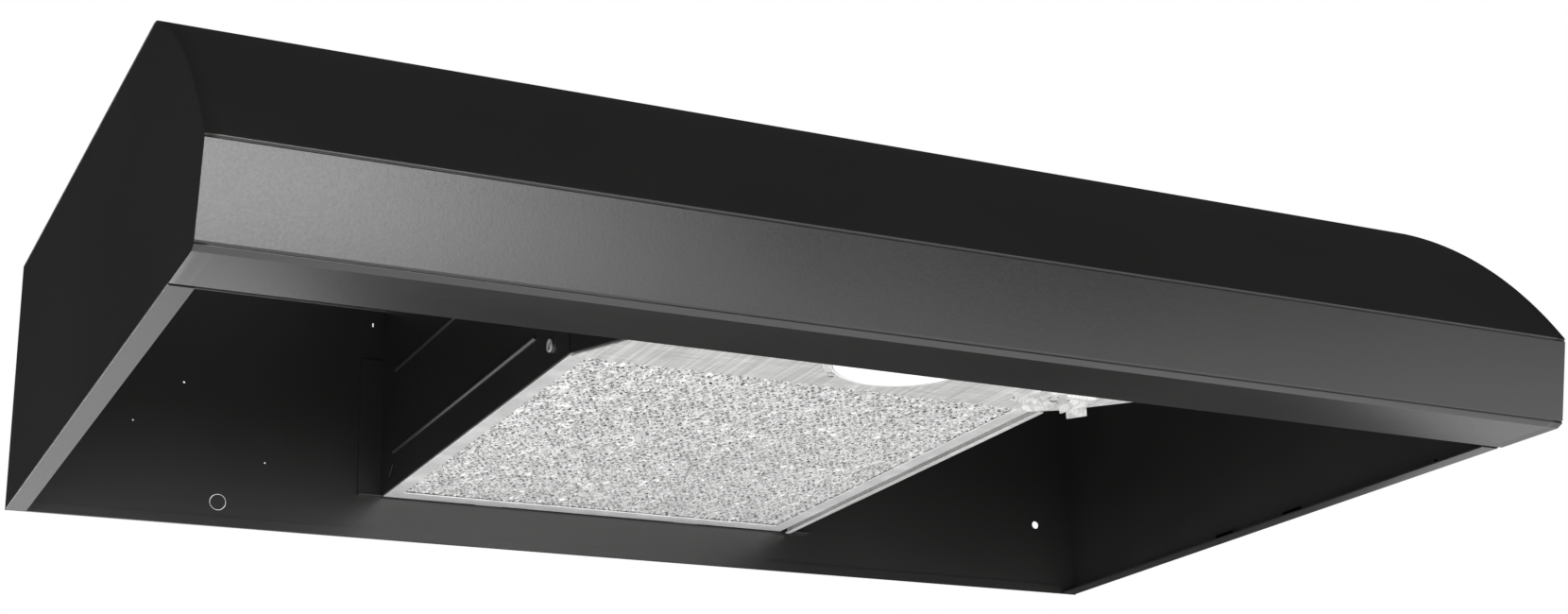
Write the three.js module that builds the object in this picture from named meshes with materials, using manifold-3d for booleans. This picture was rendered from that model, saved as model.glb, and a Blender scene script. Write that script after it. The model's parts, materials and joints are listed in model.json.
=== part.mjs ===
// Under cabinet range hood, 30 inch class, black painted sheet steel.
// Millimetres, +Z up. The hood is laid out with x = 0 at its middle, y = 0 at the back
// face that meets the wall (the front is at negative y) and z = 0 at the bottom rim.
// The whole layout is then moved so that the origin is on the top face, where the
// hood meets the cabinet floor.
import * as THREE from 'three';
import { mergeVertices, mergeGeometries } from 'three/addons/utils/BufferGeometryUtils.js';
import Module from 'manifold-3d';

const wasm = await Module();
wasm.setup();

// ---------------------------------------------------------------- driving dimensions

const hood = {
  width: 759,
  depth: 500,
  height: 154,
  sheet: 0.9,            // steel sheet thickness
};
const gap = 0.3;           // clearance between pieces that touch or are spot welded
const mountSetback = 25;   // origin's distance in front of the back face

const visor = {
  creaseHeight: 48,      // height of the fold between the visor curve and the face
  creaseAngle: 56,       // degrees below horizontal of the curve where it meets the fold
  radius: 310,           // large arc of the visor
  topBendRadius: 28,     // bend between the flat top and the large arc
  faceLean: 10,          // how far the face's foot sits behind its top
  footHeight: 2.6,       // height where the face ends and the small bend begins
  footBend: 4.6,         // depth of the small bend under the face
  lipDepth: 44.5,        // flat strip under the front
  lipReturn: 8,          // upturned edge at the back of the strip
};

const sideFlangeWidth = 12;
const foldRadius = 1.6;
const rearHem = { thickness: 1, height: 6 };   // doubled bottom edge of the rear panel

const housing = {
  left: -150,            // outer face of the left partition
  right: 143,            // outer face of the right partition
  bottom: 27.5,          // height of the partitions' lower edges
  flangeWidth: 15,       // strips that hold the partitions to the rear panel
  flangeTop: 119,
  returnDepth: 4,        // small turned-in foot of each strip
  ribHeights: [51, 105],
  ribStart: 29,
  ribToFront: 49,
  ribRadius: 1.5,
};

const frontWall = {
  chamferFootX: -100.2,    // where the left slanted wall meets the front wall
  rightX: 190,
  rightCornerAhead: 55,
  inset: 5,              // from the light panel's front edge
};

const panel = {
  bottom: 26.2,          // underside of the light panel
  depth: 107.6,          // from its front flange back to the partitions' front edges
  right: 196,
  rightCornerAhead: 54,  // ahead means in front of the panel's back edge
  rearRightX: 138,
  rearCorner: { x: 146.5, ahead: 5.5 },
  flangeFoot: 2.2,       // height of the foot of the panel's front flange
  flangeClearance: 0.5,  // between that flange and the lip's upturned edge
};

const tab = { startX: 152, startAhead: 7.5, endX: 159.5, endAhead: 17, drop: 4.8 };

const vent = {
  x: 132,
  ahead: 26,
  hubRadius: 9.5,
  outerRadius: 24,
  slots: 6,
  start: -20,            // degrees, where the first slot leaves the hub
  sweep: 62,             // degrees that a slot turns from the hub to the rim
  slotHalfWidth: 2.4,
  finHalfWidth: 0.5,
  finDrop: 2.6,
  screwRadius: 3.2,
};

const lamp = {
  x: 18,
  ahead: 55,
  lensRadius: 37.3,
  ringBore: 37.6,
  ringRadius: 42.5,
  panelHole: 40,
  ringThickness: 1.6,
  lensDepth: 3.6,        // how far the lens bulges below its rim
  lensWall: 1.6,
  lensRim: 5,
  screwAngle: 135,       // degrees round the ring
  screwRadius: 2.2,
  reflectorTopRadius: 21,
  reflectorHeight: 33,
  socketRadius: 16,
  socketHeight: 30,
  bulbRadius: 22,
  bulbNeck: 12.5,
  bracketHalfSpan: 56,
  bracketWidth: 16,
};

const filter = {
  left: -148.4,
  right: 136,
  rear: 3.3,
  tuck: 6,               // how far the front edge reaches over the light panel
  cornerClip: 6,
  clearance: 0.5,        // above the light panel
  thickness: 10,
  sideBorder: 9.6,
  frontBorder: 8,
  rearBorder: 13,
  wall: 0.8,
  padThickness: 2,
};

const filterRail = {         // angle on the inner side of the right partition
  reach: 3.6,            // from the partition's outer face inwards
  drop: 1.2,             // below the partition's lower edge
  height: 13,
  endGap: 2,
};

const leafSpring = { thickness: 0.5, halfWidth: 9, tail: 16 };

const fan = {
  x: -4,
  bladeRadius: 80,
  blades: 5,
  hubRadius: 20,
  hubHeight: 20,
  bladeBottom: 84,
  bladeThickness: 1.2,
  pitch: 24,
  shaftRadius: 4,
  shaftClearance: 0.3,
  shroudHeight: 98,
  shroudRadius: 86,
  shroudRingDrop: 9,
};

const motor = {
  radius: 37,
  bottom: 50,
  height: 28,
  strapWidth: 26,
  ventSlots: 8,
  nutSpacing: 52,
  nutRadius: 4,
  studRadius: 1.8,
};

const duct = {
  radius: 88,            // inside of the duct ring
  wall: 1,
  depth: 26,
  flange: 9,
  openingClearance: 1.5,
  pinHeight: 134,
  pinRadius: 2,
  flapClearance: 1.5,
  flapThickness: 0.9,
  knuckles: 6,           // barrels along the pin, three on each flap
  knuckleMargin: 6,
  knuckleRadius: 3.6,
  knuckleClearance: 0.3,
  stopReach: 5,          // tabs inside the ring that the closed flaps rest on
  stopThickness: 1.5,
};

const switches = {
  x: 118,
  ahead: 81,
  openingX: 46,
  openingY: 26,
  bezelBorder: 5,
  bezelThickness: 2.2,
  bodyHeight: 20,
  wall: 1.6,
  divider: 2,
  rockerClearance: 0.6,
  rockerThickness: 5,
  rockerCrown: 1.5,
  pivotRadius: 1.6,
  tilt: 9,
};

const wiringCover = { x: 96, length: 44, near: 26, bottom: 48, height: 42, wall: 1 };

const rearDuctPlate = { width: 254, height: 83, bottom: 60, corner: 6, cutGap: 0.4 };
const rearHoles = [
  { x: 348, z: 50, r: 2.9 },
  { x: -278, z: 90.6, r: 0.7 },
  { x: -308, z: 63, r: 0.5 },
  { x: -225, z: 43.3, r: 0.6 },
];
const rearSlot = { x: -157.5, z: 143, halfWidth: 0.5, halfLength: 1.4 };
const wiringKnockout = { x: -253.4, z: 15.6, r: 4.8, cutGap: 0.4 };

const keyhole = {
  sideMargin: 79.5,
  rear: 60,
  fromBend: 45,          // from the bend at the front of the flat top
  headRadius: 5.5,
  slotHalfWidth: 2.8,
  slotLength: 14,
};
const partitionHole = { fromFront: 26.4, z: 39.5, r: 3 };
const partitionSlot = { y: 24.2, z: 38.4, halfWidth: 1.5, halfLength: 5, lean: 40 };
const panelScrew = { xs: [-50, 170], headRadius: 4, headHeight: 2.2, shankRadius: 1.7, holeRadius: 2.1 };
const wireClipSize = { collarGrip: 0.6, bore: 0.8, collarThickness: 0.8, barHalfHeight: 0.6 };

// ---------------------------------------------------------------- derived places

const halfWidth = hood.width / 2;
const sheet = hood.sheet;
const skin = sheet + gap;                       // from an outer face to the next piece inside
const crease = new THREE.Vector2(-hood.depth, visor.creaseHeight);
const foot = new THREE.Vector2(-hood.depth + visor.faceLean, visor.footHeight);
const lipFront = new THREE.Vector2(foot.x + visor.footBend, 0);
const lipRear = lipFront.x + visor.lipDepth;    // y of the lip's back edge
const panelTop = panel.bottom + sheet;
const panelFront = lipRear + sheet + panel.flangeClearance + sheet;
const filterBottom = panelTop + filter.clearance;
const filterTop = filterBottom + filter.thickness;
const ceiling = hood.height - skin;             // underside of what hangs under the top
const frontEnd = -panelFront - panel.depth;     // distance of the partitions' front edges from the wall
const ventY = -frontEnd - vent.ahead;
const lampY = -frontEnd - lamp.ahead;
const switchesY = -frontEnd - switches.ahead;
const fanY = -frontEnd / 2;                     // the fan and the duct are in the housing's middle
const partitionHoleY = -frontEnd + partitionHole.fromFront;
const ribEnd = frontEnd - housing.ribToFront;

// ---------------------------------------------------------------- geometry helpers

const rad = THREE.MathUtils.degToRad;
const along = {
  x: new THREE.Matrix4().makeBasis(
    new THREE.Vector3(0, 1, 0), new THREE.Vector3(0, 0, 1), new THREE.Vector3(1, 0, 0)),
  y: new THREE.Matrix4().makeBasis(
    new THREE.Vector3(0, 0, 1), new THREE.Vector3(1, 0, 0), new THREE.Vector3(0, 1, 0)),
  z: new THREE.Matrix4(),
};

// A geometry as a manifold solid: only positions, shared vertices merged.
function solid(geometry) {
  const bare = geometry.index ? geometry.toNonIndexed() : geometry.clone();
  for (const name of Object.keys(bare.attributes)) {
    if (name !== 'position') bare.deleteAttribute(name);
  }
  const merged = mergeVertices(bare, 1e-4);
  return new wasm.Manifold(new wasm.Mesh({
    numProp: 3,
    vertProperties: Float32Array.from(merged.attributes.position.array),
    triVerts: Uint32Array.from(merged.index.array),
  }));
}

// Points are [first, second] pairs: (y, z) along x, (z, x) along y, (x, y) along z.
function prism(axis, points, from, to) {
  const shape = new THREE.Shape(points.map(([a, b]) => new THREE.Vector2(a, b)));
  const geometry = new THREE.ExtrudeGeometry(shape, { depth: to - from, bevelEnabled: false });
  geometry.translate(0, 0, from);
  geometry.applyMatrix4(along[axis]);
  return solid(geometry);
}

function box(x0, x1, y0, y1, z0, z1) {
  const geometry = new THREE.BoxGeometry(x1 - x0, y1 - y0, z1 - z0);
  geometry.translate((x0 + x1) / 2, (y0 + y1) / 2, (z0 + z1) / 2);
  return solid(geometry);
}

// A cylinder along one axis from one coordinate to another; centre is the other two.
function rod(axis, centre, from, to, radius, sides = 24) {
  const geometry = new THREE.CylinderGeometry(radius, radius, to - from, sides);
  geometry.rotateX(Math.PI / 2);
  geometry.translate(centre[0], centre[1], (from + to) / 2);
  geometry.applyMatrix4(along[axis]);
  return solid(geometry);
}

// A turned piece about a vertical line at (x, y); the profile is [radius, z] pairs.
function turned(x, y, profile, sides = 28) {
  const geometry = new THREE.LatheGeometry(profile.map(([r, z]) => new THREE.Vector2(r, z)), sides);
  geometry.rotateX(Math.PI / 2);
  geometry.translate(x, y, 0);
  return outwards(solid(geometry), geometry);
}

// A profile given the other way round turns inside out, so it is turned back.
function outwards(body, geometry) {
  if (body.volume() > 0) return body;
  const flipped = geometry.clone();
  const index = Array.from(flipped.index.array);
  for (let i = 0; i < index.length; i += 3) {
    [index[i], index[i + 1]] = [index[i + 1], index[i]];
  }
  flipped.setIndex(index);
  return solid(flipped);
}

const join = (...bodies) => bodies.reduce((sum, body) => sum.add(body));
const cut = (body, ...tools) => tools.reduce((rest, tool) => rest.subtract(tool), body);

function arc(cx, cy, radius, startDeg, endDeg, steps) {
  return Array.from({ length: steps + 1 }, (_, i) => {
    const a = rad(startDeg + (endDeg - startDeg) * i / steps);
    return [cx + radius * Math.cos(a), cy + radius * Math.sin(a)];
  });
}

// The open path moved sideways by a distance, with mitred corners.
function offsetPath(points, distance) {
  const normals = points.slice(1).map(([x, y], i) => {
    const dx = x - points[i][0];
    const dy = y - points[i][1];
    const length = Math.hypot(dx, dy);
    return [-dy / length, dx / length];
  });
  return points.map(([x, y], i) => {
    const a = normals[Math.max(i - 1, 0)];
    const b = normals[Math.min(i, normals.length - 1)];
    const scale = distance / (1 + a[0] * b[0] + a[1] * b[1]);
    return [x + (a[0] + b[0]) * scale, y + (a[1] + b[1]) * scale];
  });
}

// A strip of sheet along an open path: the path and its copy moved by the thickness.
const strip = (points, thickness) => [...points, ...offsetPath(points, thickness).reverse()];
const ribbon = (points, half) => [...offsetPath(points, -half), ...offsetPath(points, half).reverse()];

// ---------------------------------------------------------------- materials and nodes

const finishes = {
  black_paint: { color: 0x17181a, roughness: 0.42, metalness: 0.1 },
  galvanised: { color: 0xc9cacb, roughness: 0.38, metalness: 0.9 },
  aluminium: { color: 0xd6d7d8, roughness: 0.35, metalness: 0.95 },
  filter_mesh: { color: 0xd0d1d2, roughness: 0.5, metalness: 0.9 },
  lamp_white: { color: 0xf6f6f2, roughness: 0.35, metalness: 0 },
  bulb_glass: { color: 0xfff4dc, roughness: 0.1, metalness: 0 },
  black_plastic: { color: 0x141415, roughness: 0.5, metalness: 0 },
  steel: { color: 0xa9abad, roughness: 0.3, metalness: 0.95 },
  motor_black: { color: 0x222325, roughness: 0.55, metalness: 0.4 },
  ceramic: { color: 0xe9e6dd, roughness: 0.5, metalness: 0 },
};

const layout = new THREE.Group();
layout.position.set(0, mountSetback, -hood.height);

function place(name, body, finish) {
  const { vertProperties, triVerts } = body.getMesh();
  const geometry = new THREE.BufferGeometry();
  geometry.setAttribute('position', new THREE.BufferAttribute(Float32Array.from(vertProperties), 3));
  geometry.setIndex(new THREE.BufferAttribute(Uint32Array.from(triVerts), 1));
  const flat = geometry.toNonIndexed();
  flat.computeVertexNormals();
  const mesh = new THREE.Mesh(flat, new THREE.MeshStandardMaterial(finishes[finish]));
  mesh.name = name;
  layout.add(mesh);
}

// ---------------------------------------------------------------- the hood's outline

// Outer line of the wrapped sheet in (y, z): flat top, bend, visor arc, crease, face,
// small bend, lip. The large arc passes through the crease with the given direction;
// the bend is the circle that touches both the arc and the flat top.
function wrapOutline() {
  const a = rad(visor.creaseAngle);
  const centre = new THREE.Vector2(
    crease.x + visor.radius * Math.sin(a), crease.y - visor.radius * Math.cos(a));
  const rise = hood.height - visor.topBendRadius - centre.y;
  const inner = visor.radius - visor.topBendRadius;
  const bendY = centre.x - Math.sqrt(inner * inner - rise * rise);
  const bendZ = hood.height - visor.topBendRadius;
  const meetDeg = THREE.MathUtils.radToDeg(Math.atan2(bendZ - centre.y, bendY - centre.x));
  const creaseDeg = THREE.MathUtils.radToDeg(Math.atan2(crease.y - centre.y, crease.x - centre.x));
  return [
    [0, hood.height],
    ...arc(bendY, bendZ, visor.topBendRadius, 90, meetDeg, 6),
    ...arc(centre.x, centre.y, visor.radius, meetDeg, creaseDeg + (creaseDeg < meetDeg ? 360 : 0), 16)
      .slice(1),
    [foot.x, foot.y],
    [foot.x + visor.footBend * 0.3, foot.y * 0.3],
    [lipFront.x, lipFront.y],
    [lipRear, 0],
    [lipRear, visor.lipReturn],
  ];
}

const outline = wrapOutline();

// The room inside the wrapped sheet between two x values. It is open below, behind the lip.
function roomInside(x0, x1, clearance = skin) {
  const line = offsetPath(outline, clearance).slice(0, -2);
  const front = line[line.length - 1];
  const lipTop = clearance;
  const behindLip = lipRear + clearance - sheet;
  return prism('x', [
    [-clearance, line[0][1]],
    ...line.slice(1, -1),
    [front[0], lipTop],
    [behindLip - 2 * (clearance - sheet), lipTop],
    [behindLip, lipTop],
    [behindLip, 0],
    [-clearance, 0],
  ], x0, x1);
}

// ---------------------------------------------------------------- outer shell

function outerShell() {
  let body = prism('x', strip(outline, sheet), -halfWidth, halfWidth);
  const flangeEnd = halfWidth - skin;
  for (const [x0, x1] of [[-halfWidth - 1, -flangeEnd], [flangeEnd, halfWidth + 1]]) {
    body = cut(body, box(x0, x1, lipRear - 3 * sheet, lipRear + sheet, sheet, visor.lipReturn + 1));
  }
  const opening = duct.radius + duct.openingClearance;
  body = cut(body, rod('z', [fan.x, fanY], hood.height - 2, hood.height + 1, opening, 40));
  const keyholeX = halfWidth - keyhole.sideMargin;
  const bendStart = outline[1][0];
  for (const x of [-keyholeX, keyholeX]) {
    for (const y of [-keyhole.rear, bendStart + keyhole.fromBend]) {
      body = cut(body,
        rod('z', [x, y], hood.height - 2, hood.height + 1, keyhole.headRadius, 14),
        box(x - keyhole.slotHalfWidth, x + keyhole.slotHalfWidth, y, y + keyhole.slotLength,
          hood.height - 2, hood.height + 1));
    }
  }
  for (const x of panelScrew.xs) {
    body = cut(body, rod('y', [panelScrewHeight, x], lipRear - 3, lipRear + 2,
      panelScrew.holeRadius, 16));
  }
  return body;
}

const panelScrewHeight = (visor.lipReturn + panel.flangeFoot) / 2 + 0.4;

// ---------------------------------------------------------------- side and rear panels

// Each side is a flat sheet that follows the inside of the wrapped sheet. Behind the lip
// its bottom edge turns inwards as a flange; ahead of that it stands on the lip.
function sidePanel(side) {
  const outer = -halfWidth;
  const seam = lipRear + gap;
  const fold = arc(outer + foldRadius, foldRadius, foldRadius, 180, 270, 4).map(([x, z]) => [z, x]);
  const bend = [[hood.height, outer], ...fold, [0, outer + sideFlangeWidth]];
  const wall = prism('y', strip(bend, -sheet), -hood.depth - 1, 0);
  const behind = box(outer - 1, outer + sideFlangeWidth + 1, seam, -skin, -1, hood.height);
  const body = join(
    wall.intersect(behind),
    box(outer, outer + sheet, -hood.depth - 1, lipRear, skin, hood.height),
    box(outer, outer + sheet, lipRear - 1, seam + 1, visor.lipReturn, hood.height));
  const whole = body.intersect(roomInside(outer - 1, outer + sideFlangeWidth + 1));
  return side < 0 ? whole : whole.mirror([1, 0, 0]);
}

function roundedRect(x0, x1, z0, z1, r) {
  return [
    ...arc(x1 - r, z0 + r, r, -90, 0, 4), ...arc(x1 - r, z1 - r, r, 0, 90, 4),
    ...arc(x0 + r, z1 - r, r, 90, 180, 4), ...arc(x0 + r, z0 + r, r, 180, 270, 4),
  ].map(([x, z]) => [z, x]);
}

function ductPlateOutline(grow) {
  const half = rearDuctPlate.width / 2 + grow;
  return roundedRect(fan.x - half, fan.x + half, rearDuctPlate.bottom - grow,
    rearDuctPlate.bottom + rearDuctPlate.height + grow, rearDuctPlate.corner + grow);
}

function rearPanel() {
  const flangeEnd = halfWidth - sideFlangeWidth - gap;
  let body = join(
    box(-halfWidth, halfWidth, -sheet, 0, 0, hood.height - skin),
    box(-flangeEnd, flangeEnd, -sheet - rearHem.thickness, -sheet / 2, 0, rearHem.height));
  for (const hole of rearHoles) {
    body = cut(body, rod('y', [hole.z, hole.x], -3, 2, hole.r, 12));
  }
  body = cut(body,
    rod('y', [wiringKnockout.z, wiringKnockout.x], -3, 2, wiringKnockout.r + wiringKnockout.cutGap, 24),
    prism('y', ductPlateOutline(rearDuctPlate.cutGap), -3, 2),
    box(rearSlot.x - rearSlot.halfWidth, rearSlot.x + rearSlot.halfWidth, -3, 2,
      rearSlot.z - rearSlot.halfLength, rearSlot.z + rearSlot.halfLength));
  return body;
}

// ---------------------------------------------------------------- blower housing

// A partition stands across the hood. Its outer face carries pressed ribs; a strip turned
// outwards holds it to the rear panel. side is -1 where the outer face looks left, 1 right.
function partition(outerX, side) {
  const innerX = outerX - side * sheet;
  const [xa, xb] = [Math.min(outerX, innerX), Math.max(outerX, innerX)];
  const back = -skin;
  const flangeX = outerX + side * housing.flangeWidth;
  const [fa, fb] = [Math.min(outerX, flangeX), Math.max(outerX, flangeX)];
  let body = join(
    box(xa, xb, -frontEnd, back, housing.bottom, ceiling),
    box(Math.min(fa, xa), Math.max(fb, xb), back - sheet, back, housing.bottom, housing.flangeTop),
    box(fa, fb, back - housing.returnDepth, back, housing.bottom, housing.bottom + sheet));
  const middleX = outerX - side * sheet / 2;
  const ribLimit = outerX + side * 2 * housing.ribRadius;
  for (const z of housing.ribHeights) {
    const rib = rod('y', [z, outerX], -ribEnd, -housing.ribStart, housing.ribRadius, 16);
    body = join(body, rib.intersect(box(
      Math.min(middleX, ribLimit), Math.max(middleX, ribLimit),
      -ribEnd - 1, -housing.ribStart + 1, z - 10, z + 10)));
  }
  return body;
}

function leftPartition() {
  const body = partition(housing.left, -1);
  const slot = solid(slotGeometry());
  return cut(body,
    rod('x', [partitionHoleY, partitionHole.z], housing.left - 3, housing.left + 3, partitionHole.r, 24),
    slot);
}

function slotGeometry() {
  const geometry = new THREE.BoxGeometry(6, 2 * partitionSlot.halfLength, 2 * partitionSlot.halfWidth);
  geometry.rotateX(-rad(partitionSlot.lean));
  geometry.translate(housing.left, -partitionSlot.y, partitionSlot.z);
  return geometry;
}

// A bright angle on the right partition: its foot hides the partition's lower edge.
function filterRailAngle() {
  const low = housing.bottom - filterRail.drop;
  const front = -frontEnd + filterRail.endGap;
  const back = -skin - sheet - filterRail.endGap;
  const inner = housing.right - sheet - gap;
  return join(
    box(housing.right - filterRail.reach, housing.right, front, back, low, low + sheet),
    box(inner - sheet, inner, front, back, low, low + filterRail.height));
}

// The bent wall round the front of the housing: left slanted wall, front wall, right wall
// and right slanted wall. Its top follows the inside of the wrapped sheet.
const frontWallY = panelFront + frontWall.inset;
const frontWallPath = [
  [housing.left + 0.4, -frontEnd - gap - sheet / 2],
  [frontWall.chamferFootX, frontWallY],
  [frontWall.rightX, frontWallY],
  [frontWall.rightX, -frontEnd - frontWall.rightCornerAhead],
  [housing.right - 0.4, -frontEnd - gap - 1.2],
];

function housingFrontWall() {
  const body = prism('z', strip(frontWallPath, sheet), panelTop + gap, hood.height);
  return body.intersect(roomInside(-halfWidth, halfWidth));
}

// ---------------------------------------------------------------- light panel

// Slots and fins turn round the vent's hub: the radius grows evenly with the angle.
function ventCurve(index, from, to) {
  const steps = 5;
  return Array.from({ length: steps + 1 }, (_, i) => {
    const s = i / steps;
    const r = from + (to - from) * s;
    const reach = (r - vent.hubRadius) / (vent.outerRadius - vent.hubRadius);
    const a = rad(vent.start + 360 * index / vent.slots + vent.sweep * reach);
    return [vent.x + r * Math.cos(a), ventY + r * Math.sin(a)];
  });
}

function panelOutline() {
  const [start, corner] = frontWallPath;
  const slope = (corner[0] - start[0]) / (start[1] - corner[1]);
  const rearY = -frontEnd;
  const footX = housing.left + 1 + slope * (rearY - frontWallY);
  return [
    [housing.left + 1, rearY],
    [footX, frontWallY],
    [footX, panelFront],
    [panel.right, panelFront],
    [panel.right, -frontEnd - panel.rightCornerAhead],
    [tab.endX, -frontEnd - tab.endAhead],
    [tab.startX, -frontEnd - tab.startAhead],
    [panel.rearCorner.x, -frontEnd - panel.rearCorner.ahead],
    [panel.rearRightX, rearY],
  ];
}

function lightPanel() {
  const outlinePoints = panelOutline();
  const [frontLeft, frontRight] = [outlinePoints[2][0], outlinePoints[3][0]];
  const tabPath = [
    [tab.startX, -frontEnd - tab.startAhead], [tab.endX, -frontEnd - tab.endAhead],
  ];
  let body = join(
    prism('z', outlinePoints, panel.bottom, panelTop),
    box(frontLeft, frontRight, panelFront, panelFront + sheet, panel.flangeFoot, panelTop),
    prism('z', strip(tabPath, sheet), panel.bottom - tab.drop, panelTop));
  body = cut(body, rod('z', [lamp.x, lampY], panel.bottom - 1, panelTop + 1, lamp.panelHole, 36));
  for (let i = 0; i < vent.slots; i += 1) {
    const opening = ribbon(ventCurve(i, vent.hubRadius + 1, vent.outerRadius), vent.slotHalfWidth);
    body = cut(body, prism('z', opening, panel.bottom - 1, panelTop + 1));
  }
  for (let i = 0; i < vent.slots; i += 1) {
    const path = ventCurve(i, vent.hubRadius - 0.5, vent.outerRadius + 0.8);
    const side = offsetPath(path, vent.slotHalfWidth - vent.finHalfWidth / 2);
    body = join(body, prism('z', ribbon(side, vent.finHalfWidth), panel.bottom - vent.finDrop, panelTop));
  }
  const halfX = switches.openingX / 2;
  const halfY = switches.openingY / 2;
  body = cut(body, box(switches.x - halfX, switches.x + halfX, switchesY - halfY, switchesY + halfY,
    panel.bottom - 1, panelTop + 1));
  const ventScrewHole = vent.screwRadius / 2 + gap;
  body = cut(body, rod('z', [vent.x, ventY], panel.bottom - 4, panelTop + 1, ventScrewHole, 16));
  for (const x of panelScrew.xs) {
    body = cut(body, rod('y', [panelScrewHeight, x], panelFront - 1, panelFront + 2,
      panelScrew.holeRadius, 16));
  }
  for (const { x, y } of ringScrewPlaces()) {
    body = cut(body, rod('z', [x, y], panel.bottom - 1, panelTop + 1, lamp.screwRadius / 2 + gap, 12));
  }
  return body;
}

// A screw with a domed head below a face at the given height and a shank above it.
function screwUp(x, y, faceZ, headRadius, shank, sides = 16) {
  const seat = faceZ - gap;
  const dome = headRadius * 0.55;
  const tip = faceZ + shank;
  return turned(x, y, [
    [0, seat - dome], [headRadius * 0.55, seat - dome * 0.85], [headRadius * 0.9, seat - dome * 0.45],
    [headRadius, seat], [headRadius / 2, seat], [headRadius / 2, tip], [0, tip],
  ], sides);
}

function ringScrewPlaces() {
  const r = (lamp.ringBore + lamp.ringRadius) / 2;
  return [lamp.screwAngle, lamp.screwAngle + 180].map((deg) => ({
    x: lamp.x + r * Math.cos(rad(deg)),
    y: lampY + r * Math.sin(rad(deg)),
  }));
}

// ---------------------------------------------------------------- lamp

const ringTop = panel.bottom - gap;
const ringBottom = ringTop - lamp.ringThickness;
const trimScrewShank = panelTop - ringBottom;

function trimRing() {
  const [bore, rim] = [lamp.ringBore, lamp.ringRadius];
  let body = turned(lamp.x, lampY, [
    [bore, ringBottom + 0.4], [bore + 0.6, ringBottom], [rim - 1, ringBottom],
    [rim, ringBottom + 0.8], [rim, ringTop], [bore, ringTop], [bore, ringBottom + 0.4],
  ], 36);
  for (const { x, y } of ringScrewPlaces()) {
    body = cut(body, rod('z', [x, y], ringBottom - 1, ringTop + 1, lamp.screwRadius / 2 + gap, 12));
  }
  return body;
}

function lampLens() {
  const rim = ringTop + lamp.lensRim - 2;
  const outer = [];
  const inner = [];
  const steps = 4;
  for (let i = 0; i <= steps; i += 1) {
    const r = lamp.lensRadius * i / steps;
    const sag = lamp.lensDepth * (r / lamp.lensRadius) ** 2;
    outer.push([r, ringBottom - lamp.lensDepth + 0.6 + sag]);
  }
  for (let i = steps; i >= 0; i -= 1) {
    const r = (lamp.lensRadius - lamp.lensWall) * i / steps;
    const sag = lamp.lensDepth * (r / lamp.lensRadius) ** 2;
    inner.push([r, ringBottom - lamp.lensDepth + 0.6 + lamp.lensWall + sag]);
  }
  return turned(lamp.x, lampY, [
    ...outer, [lamp.lensRadius, rim], [lamp.lensRadius - lamp.lensWall, rim], ...inner,
  ], 36);
}

const reflectorBottom = panelTop + gap + 3;
const reflectorTop = reflectorBottom + lamp.reflectorHeight;

function reflector() {
  const flangeTop = panelTop + gap + sheet;
  const wall = 0.8;
  const low = lamp.panelHole - 1.6;
  const body = turned(lamp.x, lampY, [
    [low, flangeTop - sheet], [low + 7, flangeTop - sheet], [low + 7, flangeTop],
    [low + wall, flangeTop], [low + wall, reflectorBottom],
    [lamp.reflectorTopRadius + wall, reflectorTop], [lamp.reflectorTopRadius, reflectorTop],
    [low, reflectorBottom], [low, flangeTop - sheet],
  ], 36);
  const behind = -frontEnd - filter.tuck - 2 * gap;
  return cut(body, box(lamp.x - 60, lamp.x + 60, behind, behind + 20, panelTop, flangeTop + 1));
}

const socketBottom = reflectorTop - 6;
const socketTop = socketBottom + lamp.socketHeight;

function lampSocket() {
  const bore = lamp.bulbNeck + gap;
  return turned(lamp.x, lampY, [
    [bore, socketBottom], [lamp.socketRadius, socketBottom], [lamp.socketRadius, socketTop - 6],
    [lamp.socketRadius - 3, socketTop - 3], [lamp.socketRadius - 3, socketTop], [0, socketTop],
    [0, socketTop - 5], [bore, socketTop - 5], [bore, socketBottom],
  ], 20);
}

function lampBulb() {
  const tip = socketTop - 5 - gap;
  const centre = socketBottom - lamp.bulbRadius * 0.62;
  const r = Math.min(lamp.bulbRadius, lamp.reflectorTopRadius - 1);
  const cap = arc(0, centre, r, -90, 40, 6).map(([a, b]) => [Math.max(a, 0), b]);
  cap[0][0] = 0;
  return turned(lamp.x, lampY, [
    ...cap, [lamp.bulbNeck, socketBottom - 0.5], [lamp.bulbNeck, tip - 3], [5, tip], [0, tip],
  ], 20);
}

// An inverted U over the reflector, with feet on the light panel.
function lampBracket() {
  const span = lamp.bracketHalfSpan;
  const footZ = panelTop + gap;
  const top = socketTop + gap + sheet;
  const path = [
    [-span - 12, footZ], [-span, footZ], [-span, top - sheet], [span, top - sheet], [span, footZ],
    [span + 12, footZ],
  ].map(([x, z]) => [z, lamp.x + x]);
  const half = lamp.bracketWidth / 2;
  return prism('y', strip(path, -sheet), lampY - half, lampY + half);
}

// ---------------------------------------------------------------- grease filter

function filterOutline(inset, frontInset = inset) {
  const left = filter.left + inset;
  const right = filter.right - inset;
  const rear = -filter.rear - inset;
  const front = -frontEnd - filter.tuck + frontInset;
  const clip = Math.max(filter.cornerClip - inset * 0.4, 0.5);
  return [
    [left, rear], [left, front + clip], [left + clip, front], [right - clip, front],
    [right, front + clip], [right, rear],
  ];
}

function filterFrame() {
  const wall = filter.wall;
  const channel = prism('z', filterOutline(wall), filterBottom + wall, filterTop - wall);
  const window = box(filter.left + filter.sideBorder, filter.right - filter.sideBorder,
    -frontEnd - filter.tuck + filter.frontBorder, -filter.rear - filter.rearBorder,
    filterBottom - 1, filterTop + 1);
  return cut(prism('z', filterOutline(0), filterBottom, filterTop), channel, window);
}

function filterPad() {
  const low = filterBottom + filter.wall + gap;
  return prism('z', filterOutline(filter.wall + gap), low, low + filter.padThickness);
}

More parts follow.
